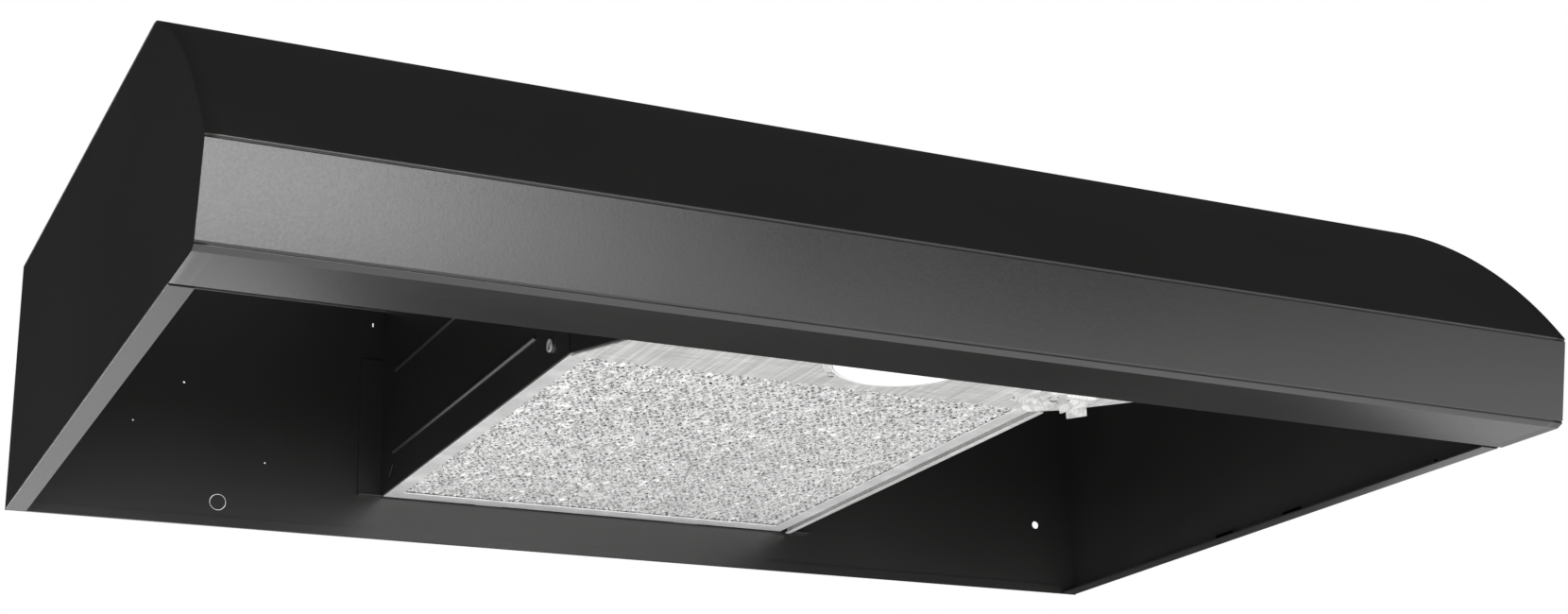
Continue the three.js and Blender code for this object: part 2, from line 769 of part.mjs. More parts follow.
// Two leaf springs on the rear panel, each with a bulge that grips the back of the frame.
function filterClip(x) {
  const back = -skin;
  const bulge = filter.rear - gap - leafSpring.thickness - skin;
  const middle = (filterBottom + filterTop) / 2;
  const half = filter.thickness * 0.4;
  const path = [
    [back, filterBottom + gap], [back, middle - half], [back - bulge, middle - half * 0.3],
    [back - bulge, middle + half * 0.3], [back, middle + half], [back, filterTop + leafSpring.tail],
  ];
  return prism('x', strip(path, leafSpring.thickness), x - leafSpring.halfWidth, x + leafSpring.halfWidth);
}

// ---------------------------------------------------------------- fan and motor

const fanTop = fan.bladeBottom + fan.hubHeight;
const motorTop = motor.bottom + motor.height;
const strapTop = motor.bottom - gap;

function fanBlade(index) {
  const inner = fan.hubRadius - 2;
  const r = fan.bladeRadius;
  const shape = new THREE.Shape();
  shape.moveTo(inner, -8);
  shape.quadraticCurveTo(r * 0.6, -34, r * 0.94, -26);
  shape.absarc(0, 0, r, Math.atan2(-26, r * 0.94), Math.atan2(30, r * 0.9));
  shape.quadraticCurveTo(r * 0.5, 24, inner, 8);
  shape.closePath();
  const geometry = new THREE.ExtrudeGeometry(shape, {
    depth: fan.bladeThickness, bevelEnabled: false, curveSegments: 6,
  });
  geometry.translate(0, 0, -fan.bladeThickness / 2);
  geometry.rotateX(rad(fan.pitch));
  geometry.rotateZ(rad(360 * index / fan.blades));
  geometry.translate(fan.x, fanY, fan.bladeBottom + fan.hubHeight / 2);
  return solid(geometry);
}

function fanWheel() {
  const sweep = rod('z', [fan.x, fanY], fan.bladeBottom - 8, fanTop + 8, fan.bladeRadius, 48);
  const hub = turned(fan.x, fanY, [
    [0, fan.bladeBottom], [fan.hubRadius - 2, fan.bladeBottom], [fan.hubRadius, fan.bladeBottom + 2],
    [fan.hubRadius, fanTop - 4], [fan.hubRadius - 5, fanTop], [0, fanTop],
  ], 24);
  let body = hub;
  for (let i = 0; i < fan.blades; i += 1) body = join(body, fanBlade(i).intersect(sweep));
  return cut(body, rod('z', [fan.x, fanY], fan.bladeBottom - 1, fanTop + 1, fan.shaftRadius + gap, 24));
}

function motorShaft() {
  return rod('z', [fan.x, fanY], motor.bottom - 8, fanTop + 6, fan.shaftRadius, 24);
}

function shaftNut() {
  const nut = rod('z', [fan.x, fanY], fanTop + gap, fanTop + gap + 5, 8, 6);
  return cut(nut, rod('z', [fan.x, fanY], fanTop, fanTop + 7, fan.shaftRadius + gap, 24));
}

// The motor case is a closed can with vent slots through its wall.
function motorCase() {
  const r = motor.radius;
  const z0 = motor.bottom;
  const wall = 1.4;
  const bore = fan.shaftRadius + fan.shaftClearance;
  let body = turned(fan.x, fanY, [
    [bore, z0], [r - 4, z0], [r, z0 + 4], [r, motorTop - 6], [r - 6, motorTop - 1], [14, motorTop],
    [14, motorTop + 3], [bore, motorTop + 3], [bore, motorTop - wall], [r - 7, motorTop - 1 - wall],
    [r - wall, motorTop - 7], [r - wall, z0 + 4.6], [r - 4.6, z0 + wall], [bore, z0 + wall], [bore, z0],
  ], 24);
  for (let i = 0; i < motor.ventSlots; i += 1) {
    const geometry = new THREE.BoxGeometry(6, 5, motor.height * 0.4);
    geometry.translate(r - 1, 0, 0);
    geometry.rotateZ(rad(360 * i / motor.ventSlots));
    geometry.translate(fan.x, fanY, z0 + motor.height * 0.46);
    body = cut(body, solid(geometry));
  }
  return body;
}

function motorRotor() {
  const inner = fan.shaftRadius + gap;
  return turned(fan.x, fanY, [
    [inner, motor.bottom + 5], [18, motor.bottom + 5], [18, motor.bottom + 20], [inner, motor.bottom + 20],
    [inner, motor.bottom + 5],
  ], 24);
}

function motorWinding() {
  return turned(fan.x, fanY, [
    [19, motor.bottom + 6], [31, motor.bottom + 6], [33, motor.bottom + 9], [33, motor.bottom + 17],
    [31, motor.bottom + 19], [19, motor.bottom + 19], [19, motor.bottom + 6],
  ], 24);
}

function motorStrap() {
  const left = housing.left + sheet + gap;
  const right = housing.right - sheet - gap;
  const y0 = fanY - motor.strapWidth / 2;
  const y1 = fanY + motor.strapWidth / 2;
  const path = [
    [strapTop + 26, left], [strapTop - sheet, left], [strapTop - sheet, right], [strapTop + 26, right],
  ];
  let body = prism('y', strip(path, -sheet), y0, y1);
  body = cut(body, rod('z', [fan.x, fanY], strapTop - 4, strapTop + 2, fan.shaftRadius + 3, 24));
  for (const side of [-1, 1]) {
    const x = fan.x + side * motor.nutSpacing / 2;
    body = cut(body, rod('z', [x, fanY], strapTop - 4, strapTop + 2, motor.studRadius + gap + 0.1, 16));
  }
  return body;
}

function motorNut(side) {
  const x = fan.x + side * motor.nutSpacing / 2;
  const top = strapTop - sheet - gap;
  return join(
    rod('z', [x, fanY], top - 3.5, top, motor.nutRadius, 6),
    rod('z', [x, fanY], top - 6, strapTop, motor.studRadius, 12));
}

// A plate across the housing with a round mouth close round the blades.
function fanShroud() {
  const z = fan.shroudHeight;
  const left = housing.left + sheet + gap;
  const right = housing.right - sheet - gap;
  const plate = box(left, right, -frontEnd + 2, -skin - sheet - gap, z, z + sheet);
  const ring = turned(fan.x, fanY, [
    [fan.shroudRadius, z - fan.shroudRingDrop], [fan.shroudRadius + sheet, z - fan.shroudRingDrop],
    [fan.shroudRadius + sheet, z + sheet / 2], [fan.shroudRadius, z + sheet / 2],
    [fan.shroudRadius, z - fan.shroudRingDrop],
  ], 40);
  const mouth = rod('z', [fan.x, fanY], z - 1, z + 2, fan.shroudRadius, 40);
  return join(cut(plate, mouth), ring);
}

// ---------------------------------------------------------------- duct and damper

function ductRing() {
  const r = duct.radius;
  const low = ceiling - duct.depth;
  const stopTop = duct.pinHeight - duct.flapThickness / 2 - gap;
  let body = turned(fan.x, fanY, [
    [r, low], [r + duct.wall, low], [r + duct.wall, ceiling - sheet], [r + duct.flange, ceiling - sheet],
    [r + duct.flange, ceiling], [r, ceiling], [r, low],
  ], 40);
  for (const side of [-1, 1]) {
    const [near, far] = [side * (r - duct.stopReach), side * (r + duct.wall / 2)];
    body = join(body, box(fan.x - 4, fan.x + 4, fanY + Math.min(near, far), fanY + Math.max(near, far),
      stopTop - duct.stopThickness, stopTop));
  }
  return cut(body, rod('x', [fanY, duct.pinHeight], fan.x - r - 4, fan.x + r + 4,
    duct.pinRadius + gap, 12));
}

function damperPin() {
  const reach = duct.radius + duct.wall + 1.5;
  return rod('x', [fanY, duct.pinHeight], fan.x - reach, fan.x + reach, duct.pinRadius, 12);
}

// Each flap is half a disc that stops short of the knuckles on the pin.
const flapLow = duct.pinHeight - duct.flapThickness / 2;
const flapHigh = duct.pinHeight + duct.flapThickness / 2;
const flapRadius = duct.radius - duct.flapClearance;
const flapStart = duct.knuckleRadius + gap;

// A stretch in front of or behind the pin, as its two y values in rising order.
function besidePin(side, near, far) {
  return [fanY + side * near, fanY + side * far].sort((a, b) => a - b);
}

function damperFlap(side) {
  const reach = flapRadius + 1;
  return rod('z', [fan.x, fanY], flapLow, flapHigh, flapRadius, 40).intersect(
    box(fan.x - reach, fan.x + reach, ...besidePin(side, flapStart, reach), flapLow - 1, flapHigh + 1));
}

// A knuckle turns on the pin and reaches to its flap's edge. The two flaps' knuckles alternate.
function damperKnuckle(side, index) {
  const step = 2 * (flapRadius - duct.knuckleMargin) / duct.knuckles;
  const x0 = fan.x - flapRadius + duct.knuckleMargin + step * index + gap;
  const x1 = x0 + step - 2 * gap;
  const at = [fanY, duct.pinHeight];
  const arm = box(x0, x1, ...besidePin(side, 0, flapStart - gap), flapLow, flapHigh);
  const barrel = join(rod('x', at, x0, x1, duct.knuckleRadius - gap, 12), arm);
  return cut(barrel, rod('x', at, x0 - 1, x1 + 1, duct.pinRadius + duct.knuckleClearance, 12));
}

// ---------------------------------------------------------------- switches

const rockerWidth = (switches.openingX - 2 * gap - 2 * switches.wall - switches.divider) / 2
  - 2 * switches.rockerClearance;
const rockerLength = switches.openingY - 2 * gap - 2 * switches.wall - 2 * switches.rockerClearance;
const rockerPivotZ = panel.bottom + 1.5;

function rockerX(side) {
  return switches.x + side * (switches.divider / 2 + switches.rockerClearance + rockerWidth / 2);
}

function switchBezel() {
  const halfX = switches.openingX / 2 - gap;
  const halfY = switches.openingY / 2 - gap;
  const border = switches.bezelBorder + gap;
  const low = panel.bottom - gap - switches.bezelThickness;
  const top = panelTop + switches.bodyHeight;
  let body = join(
    box(switches.x - halfX - border, switches.x + halfX + border, switchesY - halfY - border,
      switchesY + halfY + border, low, panel.bottom - gap),
    box(switches.x - halfX, switches.x + halfX, switchesY - halfY, switchesY + halfY, low, top));
  for (const side of [-1, 1]) {
    const x = rockerX(side);
    const w = rockerWidth / 2 + switches.rockerClearance;
    const l = rockerLength / 2 + switches.rockerClearance;
    body = cut(body, box(x - w, x + w, switchesY - l, switchesY + l, low - 1, top - switches.wall));
  }
  return cut(body, rod('x', [switchesY, rockerPivotZ], switches.x - halfX - 0.01 + switches.wall / 2,
    switches.x + halfX + 0.01 - switches.wall / 2, switches.pivotRadius + gap / 2, 16));
}

// A rocker has a shallow valley across its middle, and turns on two stub pins.
function rocker(side, startTilt) {
  const x = rockerX(side);
  const w = rockerWidth / 2;
  const l = rockerLength / 2;
  const t = switches.rockerThickness;
  const pin = w + switches.rockerClearance + switches.wall / 2 - 0.3;
  const paddle = new THREE.Shape([
    new THREE.Vector2(-l, t / 2), new THREE.Vector2(-l, -t / 2 - switches.rockerCrown),
    new THREE.Vector2(-l * 0.45, -t / 2 - switches.rockerCrown * 0.35), new THREE.Vector2(0, -t / 2),
    new THREE.Vector2(l * 0.45, -t / 2 - switches.rockerCrown * 0.35),
    new THREE.Vector2(l, -t / 2 - switches.rockerCrown), new THREE.Vector2(l, t / 2),
  ]);
  const block = new THREE.ExtrudeGeometry(paddle, { depth: 2 * w, bevelEnabled: false });
  block.translate(0, 0, -w);
  block.applyMatrix4(along.x);
  const pins = new THREE.CylinderGeometry(switches.pivotRadius, switches.pivotRadius, 2 * pin, 16);
  pins.rotateZ(Math.PI / 2);
  for (const geometry of [block, pins]) {
    geometry.rotateX(rad(startTilt));
    geometry.translate(x, switchesY, rockerPivotZ);
  }
  return join(solid(block), solid(pins));
}

// ---------------------------------------------------------------- small pieces

function wiringCoverBody() {
  const x1 = housing.right - sheet - gap;
  const x0 = wiringCover.x;
  const y1 = -wiringCover.near;
  const y0 = y1 - wiringCover.length;
  const w = wiringCover.wall;
  const z0 = wiringCover.bottom;
  const z1 = z0 + wiringCover.height;
  return cut(box(x0, x1, y0, y1, z0, z1), box(x0 + w, x1 + 1, y0 + w, y1 - w, z0 + w, z1 - w));
}

// A wire clip snapped into the hole in the left partition, with a bar across its collar.
function wireClip() {
  const x = housing.left;
  const r = partitionHole.r;
  const bore = r - wireClipSize.bore;
  const at = [partitionHoleY, partitionHole.z];
  const front = x - gap - wireClipSize.collarThickness;
  const collar = cut(
    rod('x', at, front, x - gap, r + wireClipSize.collarGrip, 24),
    rod('x', at, x - 4, x, bore, 24));
  const sleeve = cut(
    rod('x', at, (front + x - gap) / 2, x + sheet + 0.2, r - gap, 24),
    rod('x', at, x - 4, x + 4, bore, 24));
  const half = wireClipSize.barHalfHeight;
  const bar = box(front, x - gap - 0.2, at[0] - r, at[0] + r, at[1] - half, at[1] + half);
  return join(collar, sleeve, bar);
}

function panelScrewBody(x) {
  const y = panelFront + sheet + gap;
  const profile = [
    [0, y + panelScrew.headHeight], [panelScrew.headRadius * 0.7, y + panelScrew.headHeight * 0.8],
    [panelScrew.headRadius, y], [panelScrew.shankRadius, y], [panelScrew.shankRadius, lipRear - 2.5],
    [0, lipRear - 2.5],
  ];
  const geometry = new THREE.LatheGeometry(profile.map(([r, v]) => new THREE.Vector2(r, v)), 16);
  geometry.translate(x, 0, panelScrewHeight);
  return outwards(solid(geometry), geometry);
}

function knockoutDisc() {
  return rod('y', [wiringKnockout.z, wiringKnockout.x], -sheet, 0, wiringKnockout.r, 24);
}

// ---------------------------------------------------------------- the assembly

place('outer_shell', outerShell(), 'black_paint');
place('side_panel_left', sidePanel(-1), 'black_paint');
place('side_panel_right', sidePanel(1), 'black_paint');
place('rear_panel', rearPanel(), 'black_paint');
place('rear_duct_knockout', prism('y', ductPlateOutline(0), -sheet, 0), 'black_paint');
place('wiring_knockout', knockoutDisc(), 'black_paint');
place('partition_left', leftPartition(), 'black_paint');
place('partition_right', partition(housing.right, 1), 'black_paint');
place('filter_rail', filterRailAngle(), 'galvanised');
place('housing_front_wall', housingFrontWall(), 'black_paint');
place('light_panel', lightPanel(), 'galvanised');
panelScrew.xs.forEach((x, i) => place(`panel_screw_${i + 1}`, panelScrewBody(x), 'steel'));
place('vent_screw', screwUp(vent.x, ventY, panel.bottom, vent.screwRadius, 6), 'steel');
place('wire_clip', wireClip(), 'galvanised');

place('lamp_trim_ring', trimRing(), 'aluminium');
ringScrewPlaces().forEach(({ x, y }, i) => {
  place(`trim_screw_${i + 1}`, screwUp(x, y, ringBottom, lamp.screwRadius, trimScrewShank, 12), 'steel');
});
place('lamp_lens', lampLens(), 'lamp_white');
place('lamp_reflector', reflector(), 'aluminium');
place('lamp_socket', lampSocket(), 'ceramic');
place('lamp_bulb', lampBulb(), 'bulb_glass');
place('lamp_bracket', lampBracket(), 'galvanised');

place('filter_frame', filterFrame(), 'aluminium');
place('filter_pad', filterPad(), 'filter_mesh');
place('filter_clip_left', filterClip((filter.left * 3 + filter.right) / 4), 'steel');
place('filter_clip_right', filterClip((filter.left + filter.right * 3) / 4), 'steel');

place('fan_wheel', fanWheel(), 'aluminium');
place('motor_shaft', motorShaft(), 'steel');
place('shaft_nut', shaftNut(), 'steel');
place('motor_rotor', motorRotor(), 'steel');
place('motor_winding', motorWinding(), 'motor_black');
place('motor_case', motorCase(), 'motor_black');
place('motor_strap', motorStrap(), 'galvanised');
place('motor_nut_left', motorNut(-1), 'steel');
place('motor_nut_right', motorNut(1), 'steel');
place('fan_shroud', fanShroud(), 'galvanised');

place('duct_ring', ductRing(), 'galvanised');
place('damper_pin', damperPin(), 'steel');
for (const [side, name] of [[-1, 'front'], [1, 'rear']]) {
  place(`damper_flap_${name}`, damperFlap(side), 'galvanised');
  for (let i = 0; i < duct.knuckles / 2; i += 1) {
    place(`damper_knuckle_${name}_${i + 1}`, damperKnuckle(side, 2 * i + (side > 0 ? 1 : 0)), 'galvanised');
  }
}

place('switch_bezel', switchBezel(), 'black_plastic');
place('fan_rocker', rocker(-1, 0), 'black_plastic');
place('light_rocker', rocker(1, switches.tilt), 'black_plastic');
place('wiring_cover', wiringCoverBody(), 'galvanised');

const hoodAssembly = new THREE.Group();
hoodAssembly.add(layout);

export default hoodAssembly;
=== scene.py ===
import json
import math

import bmesh
import bpy
import numpy as np
from mathutils import Matrix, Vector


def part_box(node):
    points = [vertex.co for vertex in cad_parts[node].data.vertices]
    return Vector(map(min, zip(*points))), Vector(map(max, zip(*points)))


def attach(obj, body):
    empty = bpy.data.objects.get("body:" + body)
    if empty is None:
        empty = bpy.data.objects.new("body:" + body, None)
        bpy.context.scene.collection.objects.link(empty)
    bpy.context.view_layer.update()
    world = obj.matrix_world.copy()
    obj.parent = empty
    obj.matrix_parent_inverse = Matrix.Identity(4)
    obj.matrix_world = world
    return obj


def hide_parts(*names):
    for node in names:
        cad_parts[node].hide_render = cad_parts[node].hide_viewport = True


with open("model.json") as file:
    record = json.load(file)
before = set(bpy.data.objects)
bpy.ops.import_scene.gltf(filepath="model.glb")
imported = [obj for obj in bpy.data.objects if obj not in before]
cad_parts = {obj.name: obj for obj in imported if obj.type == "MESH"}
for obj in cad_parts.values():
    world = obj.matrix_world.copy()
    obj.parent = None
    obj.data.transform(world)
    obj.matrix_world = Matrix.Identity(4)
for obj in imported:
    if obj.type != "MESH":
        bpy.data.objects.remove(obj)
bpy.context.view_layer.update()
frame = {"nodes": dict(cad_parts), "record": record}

bl_info = {
    "name": "Under Cabinet Range Hood",
    "version": (1, 0, 0),
    "blender": (4, 5, 0),
    "location": "3D View > Sidebar > Range Hood",
    "description": "Surfaces, finishes and studio of an under cabinet range hood",
    "category": "Object",
}

SHELL_LOW, SHELL_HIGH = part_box("outer_shell")
WALL_Y = SHELL_HIGH.y
FRONT_Y = SHELL_LOW.y
RIM_Z = SHELL_LOW.z
TOP_Z = SHELL_HIGH.z
HALF_WIDTH = SHELL_HIGH.x
SHELL_GAP = 0.0003
MM = 0.001


def centre_of(node):
    """The middle of a node's box, as three numbers."""
    low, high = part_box(node)
    return [(a + b) / 2 for a, b in zip(low, high)]


# ---- settings


def length_setting(name, description, metres):
    """A setting that holds a length."""
    return bpy.props.FloatProperty(
        name=name, description=description, default=metres, unit="LENGTH")


def angle_setting(name, description, degrees):
    """A setting that holds an angle."""
    return bpy.props.FloatProperty(
        name=name, description=description, default=math.radians(degrees), subtype="ANGLE")


def colour_setting(name, description, colour):
    """A setting that holds a colour."""
    return bpy.props.FloatVectorProperty(
        name=name, description=description, default=colour, size=3, subtype="COLOR")


class HoodShellSettings(bpy.types.PropertyGroup):
    """Sizes of the wrapped sheet, its folds and the holes in its top."""

    sheet: length_setting("Sheet", "Thickness of the steel sheet", 0.0009)
    crease_height: length_setting("Crease height", "Height of the fold above the rim", 0.048)
    crease_angle: angle_setting("Crease angle", "Slope of the visor where it meets the fold", 56)
    visor_radius: length_setting("Visor radius", "Large arc of the visor", 0.31)
    top_bend_radius: length_setting("Top bend", "Bend between the flat top and the visor", 0.028)
    face_slope: bpy.props.FloatProperty(
        name="Face slope", description="How far the face leans back for each unit of height",
        default=0.22026)
    crease_bend: length_setting("Crease bend", "Outer radius of the fold", 0.0007)
    groove_depth: length_setting(
        "Groove depth", "Depth of the pressed lines above and below the face", 0.0009)
    groove_height: length_setting("Groove height", "Height of the pressed lines", 0.0016)
    foot_height: length_setting("Foot height", "Height of the face's foot above the rim", 0.0036)
    foot_depth: length_setting(
        "Foot depth", "Depth of the slanted strip between the foot and the lip", 0.0040)
    lip_end: length_setting("Lip end", "Distance of the lip's back edge behind the front", 0.0591)
    lip_return: length_setting("Lip return", "Height of the upturned edge behind the lip", 0.008)
    fold_bend: length_setting("Fold bend", "Outer radius of the ordinary folds", 0.0014)
    side_flange: length_setting(
        "Side flange", "Width of the turned-in bottom edge of each side", 0.012)
    duct_clearance: length_setting(
        "Duct clearance", "Gap between the duct ring's bore and the top's hole", 0.0015)
    keyhole_radius: length_setting("Keyhole head", "Radius of a keyhole's round head", 0.0055)
    keyhole_slot: length_setting("Keyhole slot", "Half the width of a keyhole's slot", 0.0028)
    keyhole_length: length_setting(
        "Keyhole length", "Reach of the slot behind the head's middle", 0.014)
    keyhole_inset: length_setting(
        "Keyhole inset", "Distance of the keyholes from each side", 0.0795)
    keyhole_rear: length_setting(
        "Rear keyholes", "Distance of the rear keyholes from the back face", 0.06)
    keyhole_front: length_setting(
        "Front keyholes", "Distance of the front keyholes behind the top bend", 0.045)


class HoodFilterSettings(bpy.types.PropertyGroup):
    """Sizes of the woven strands in the grease filter."""

    strand_pitch: length_setting("Strand pitch", "Distance between neighbouring strands", 0.0021)
    knot_pitch: length_setting("Knot pitch", "Distance between two joints along a strand", 0.0036)
    strand_width: length_setting("Strand width", "Width of one strand", 0.0017)
    strand_thickness: length_setting("Strand thickness", "Thickness of one strand", 0.00022)
    crumple: length_setting("Crumple", "How far a joint is pushed out of its even place", 0.00055)
    seed: bpy.props.IntProperty(
        name="Seed", description="Start of the random numbers that crumple the strands", default=7)


class HoodVentSettings(bpy.types.PropertyGroup):
    """Sizes of the louvres in the round vent."""

    count: bpy.props.IntProperty(
        name="Louvres", description="Number of louvres round the vent", default=6)
    hub: length_setting("Hub", "Radius where the louvres start", 0.0098)
    rim: length_setting("Rim", "Radius where the louvres end", 0.0248)
    start: angle_setting("Start", "Direction in which the first louvre leaves the hub", -20)
    sweep: angle_setting("Sweep", "Angle that a louvre turns from the hub to the rim", 62)
    half_width: length_setting("Half width", "Half the width of a louvre at its middle", 0.0032)
    dip: length_setting("Dip", "Height of a louvre's edges above and below its middle", 0.0016)
    drop: length_setting("Drop", "How far a louvre's middle stands below the panel", 0.0008)


class HoodFinishSettings(bpy.types.PropertyGroup):
    """Colours of the finishes."""

    paint: colour_setting("Paint", "Black paint of the body", (0.0125, 0.0122, 0.0118))
    steel: colour_setting("Galvanised steel", "Zinc coated sheet", (0.86, 0.86, 0.85))
    aluminium: colour_setting("Aluminium", "Bright rolled aluminium", (0.9, 0.9, 0.895))
    lens: colour_setting("Lens", "White lamp lens", (0.93, 0.93, 0.925))
    plastic: colour_setting("Black plastic", "Switches and their frame", (0.012, 0.012, 0.012))
    ceramic: colour_setting("Ceramic", "Lamp socket", (0.78, 0.75, 0.68))


class HoodStudioSettings(bpy.types.PropertyGroup):
    """The floor, lights and camera."""

    floor_drop: length_setting("Floor drop", "Distance of the floor below the rim", 0.62)
    floor_glow: bpy.props.FloatProperty(
        name="Floor glow", description="Light that the floor gives by itself", default=0.80)
    surround: bpy.props.FloatProperty(
        name="Surround", description="Brightness of the room that the object reflects",
        default=0.03)
    lens: bpy.props.FloatProperty(
        name="Focal length", description="Focal length of the camera", default=53.12,
        unit="CAMERA")


# ---- surfaces


def grid_faces(rows, columns, wrap_columns=False):
    """Quads of a grid whose point (i, j) has the number i * columns + j. Wrapped columns
    join the last one to the first."""
    i = np.arange(rows - 1)
    j = np.arange(columns if wrap_columns else columns - 1)
    i, j = np.meshgrid(i, j, indexing="ij")
    i_next = i + 1
    j_next = (j + 1) % columns
    quads = np.stack([
        i * columns + j, i * columns + j_next, i_next * columns + j_next, i_next * columns + j,
    ], axis=-1)
    return quads.reshape(-1, 4)


def surface(points, wrap_columns=False, flip=False):
    """A grid of points (rows, columns, 3) as one part: its points and its quads."""
    faces = grid_faces(*points.shape[:2], wrap_columns)
    return points.reshape(-1, 3), faces[:, ::-1] if flip else faces


def joined(parts):
    """Several parts as one; each part's face numbers move past the points before it."""
    starts = np.cumsum([0] + [len(points) for points, _ in parts[:-1]])
    points = np.concatenate([points for points, _ in parts])
    faces = np.concatenate([faces + start for (_, faces), start in zip(parts, starts)])
    return points, faces


def arc(centre, radius, start, end, steps):
    """Points of an arc: centre + radius * (cos a, sin a), a running from start to end."""
    a = np.linspace(start, end, steps + 1)
    return np.stack([centre[0] + radius * np.cos(a), centre[1] + radius * np.sin(a)], axis=1)


def fillet(corner, before, after, radius, steps):
    """The arc that rounds a corner. It touches the line from before and the line to after
    at a distance radius * tan(turn / 2) from the corner, turn being the change of direction."""
    corner = np.asarray(corner, float)
    incoming = corner - before
    incoming /= np.linalg.norm(incoming)
    outgoing = after - corner
    outgoing /= np.linalg.norm(outgoing)
    cross = incoming[0] * outgoing[1] - incoming[1] * outgoing[0]
    turn = math.atan2(cross, float(incoming @ outgoing))
    reach = radius * math.tan(abs(turn) / 2)
    normal = np.array([-incoming[1], incoming[0]]) * math.copysign(1, turn)
    start = corner - incoming * reach
    centre = start + normal * radius
    first = math.atan2(*(start - centre)[::-1])
    return arc(centre, radius, first, first + turn, steps)


def rounded_line(corners, radii, steps=5):
    """An open line through the corners with each inner corner rounded by its radius."""
    corners = [np.asarray(c, float) for c in corners]
    pieces = [corners[0][None]]
    for before, corner, after, radius in zip(corners, corners[1:], corners[2:], radii):
        pieces.append(fillet(corner, before, after, radius, steps))
    pieces.append(corners[-1][None])
    return np.concatenate(pieces)


def line_offset(line, distance):
    """An open line moved sideways: each point moves along the mitre of its two segments,
    distance / (1 + cosine of the turn) times the sum of their normals."""
    step = np.diff(line, axis=0)
    step /= np.linalg.norm(step, axis=1)[:, None]
    normal = np.stack([-step[:, 1], step[:, 0]], axis=1)
    a = np.concatenate([normal[:1], normal])
    b = np.concatenate([normal, normal[-1:]])
    return line + (a + b) * (distance / (1 + (a * b).sum(axis=1)))[:, None]


def turned(profile, centre, sides=64):
    """A profile of (radius, z) pairs turned about a vertical axis:
    (x, y, z) = (cx + r cos a, cy + r sin a, z)."""
    profile = np.asarray(profile, float)
    a = np.linspace(0, 2 * math.pi, sides, endpoint=False)
    x = centre[0] + profile[:, :1] * np.cos(a)
    y = centre[1] + profile[:, :1] * np.sin(a)
    z = np.repeat(profile[:, 1:], sides, axis=1)
    return surface(np.stack([x, y, z], axis=-1), wrap_columns=True)


def spaced(breaks, step):
    """Rising numbers from the first break to the last, through every break and no more than
    step apart; step is one number or one for each stretch."""
    steps = np.broadcast_to(step, len(breaks) - 1)
    parts = [
        np.linspace(a, b, max(int(math.ceil((b - a) / s - 1e-6)), 1), endpoint=False)
        for a, b, s in zip(breaks, breaks[1:], steps)
    ]
    return np.concatenate(parts + [np.array([breaks[-1]])])


def pierced(us, vs, holes):
    """A flat blank with holes: points (u, v) of the grid us by vs. Each hole is
    (middle, half, reach): the grid's quads in the square that runs half to each side of the
    middle are replaced by rings between the square's own grid points and the hole's edge,
    middle + reach(a) * (cos a, sin a), where a is the direction of the grid point seen from
    the middle. The exponent spaces the rings unevenly."""
    rings, exponent = 4, 0.7
    u, v = np.meshgrid(us, vs, indexing="ij")
    faces = grid_faces(len(us), len(vs))
    keep = np.ones((len(us) - 1, len(vs) - 1), bool)
    mid_u = (us[1:] + us[:-1])[:, None] / 2
    mid_v = (vs[1:] + vs[:-1])[None, :] / 2
    flat = [np.stack([u, v], axis=-1).reshape(-1, 2)]
    quads = []
    count = len(flat[0])
    for middle, half, reach in holes:
        (u0, v0), (u1, v1) = np.subtract(middle, half), np.add(middle, half)
        keep &= ~((mid_u > u0) & (mid_u < u1) & (mid_v > v0) & (mid_v < v1))
        across = us[(us > u0 - 1e-9) & (us < u1 + 1e-9)]
        up = vs[(vs > v0 - 1e-9) & (vs < v1 + 1e-9)]
        border = np.concatenate([
            np.stack([across, np.full_like(across, up[0])], 1)[:-1],
            np.stack([np.full_like(up, across[-1]), up], 1)[:-1],
            np.stack([across, np.full_like(across, up[-1])], 1)[:0:-1],
            np.stack([np.full_like(up, across[0]), up], 1)[:0:-1],
        ])
        away = border - middle
        a = np.arctan2(away[:, 1], away[:, 0])
        edge = np.asarray(middle) + reach(a)[:, None] * np.stack([np.cos(a), np.sin(a)], 1)
        t = (np.linspace(0, 1, rings + 1) ** exponent)[:, None, None]
        ring = border[None] * (1 - t) + edge[None] * t
        flat.append(ring.reshape(-1, 2))
        quads.append(grid_faces(rings + 1, len(border), wrap_columns=True)[:, ::-1] + count)
        count += ring.shape[0] * ring.shape[1]
    return np.concatenate(flat), np.concatenate([faces[keep.reshape(-1)]] + quads)


def round_hole(radius):
    """The reach of a round hole: the same in every direction."""
    return lambda a: np.full_like(a, radius)


def slot_hole(radius, half_width, length, direction):
    """The reach of a keyhole: the larger of its head's radius and the distance to the edge
    of a slot that runs from the middle, min(half_width / |sin b|, length / cos b), b being
    measured from the slot's direction."""
    def reach(a):
        b = a - direction
        ahead = np.cos(b) > 1e-6
        side = half_width / np.maximum(np.abs(np.sin(b)), 1e-9)
        end = length / np.maximum(np.cos(b), 1e-6)
        return np.where(ahead, np.maximum(radius, np.minimum(side, end)), radius)
    return reach


# ---- pieces


def linked(name, data):
    """A new object in the scene's collection."""
    made = bpy.data.objects.new(name, data)
    bpy.context.scene.collection.objects.link(made)
    return made


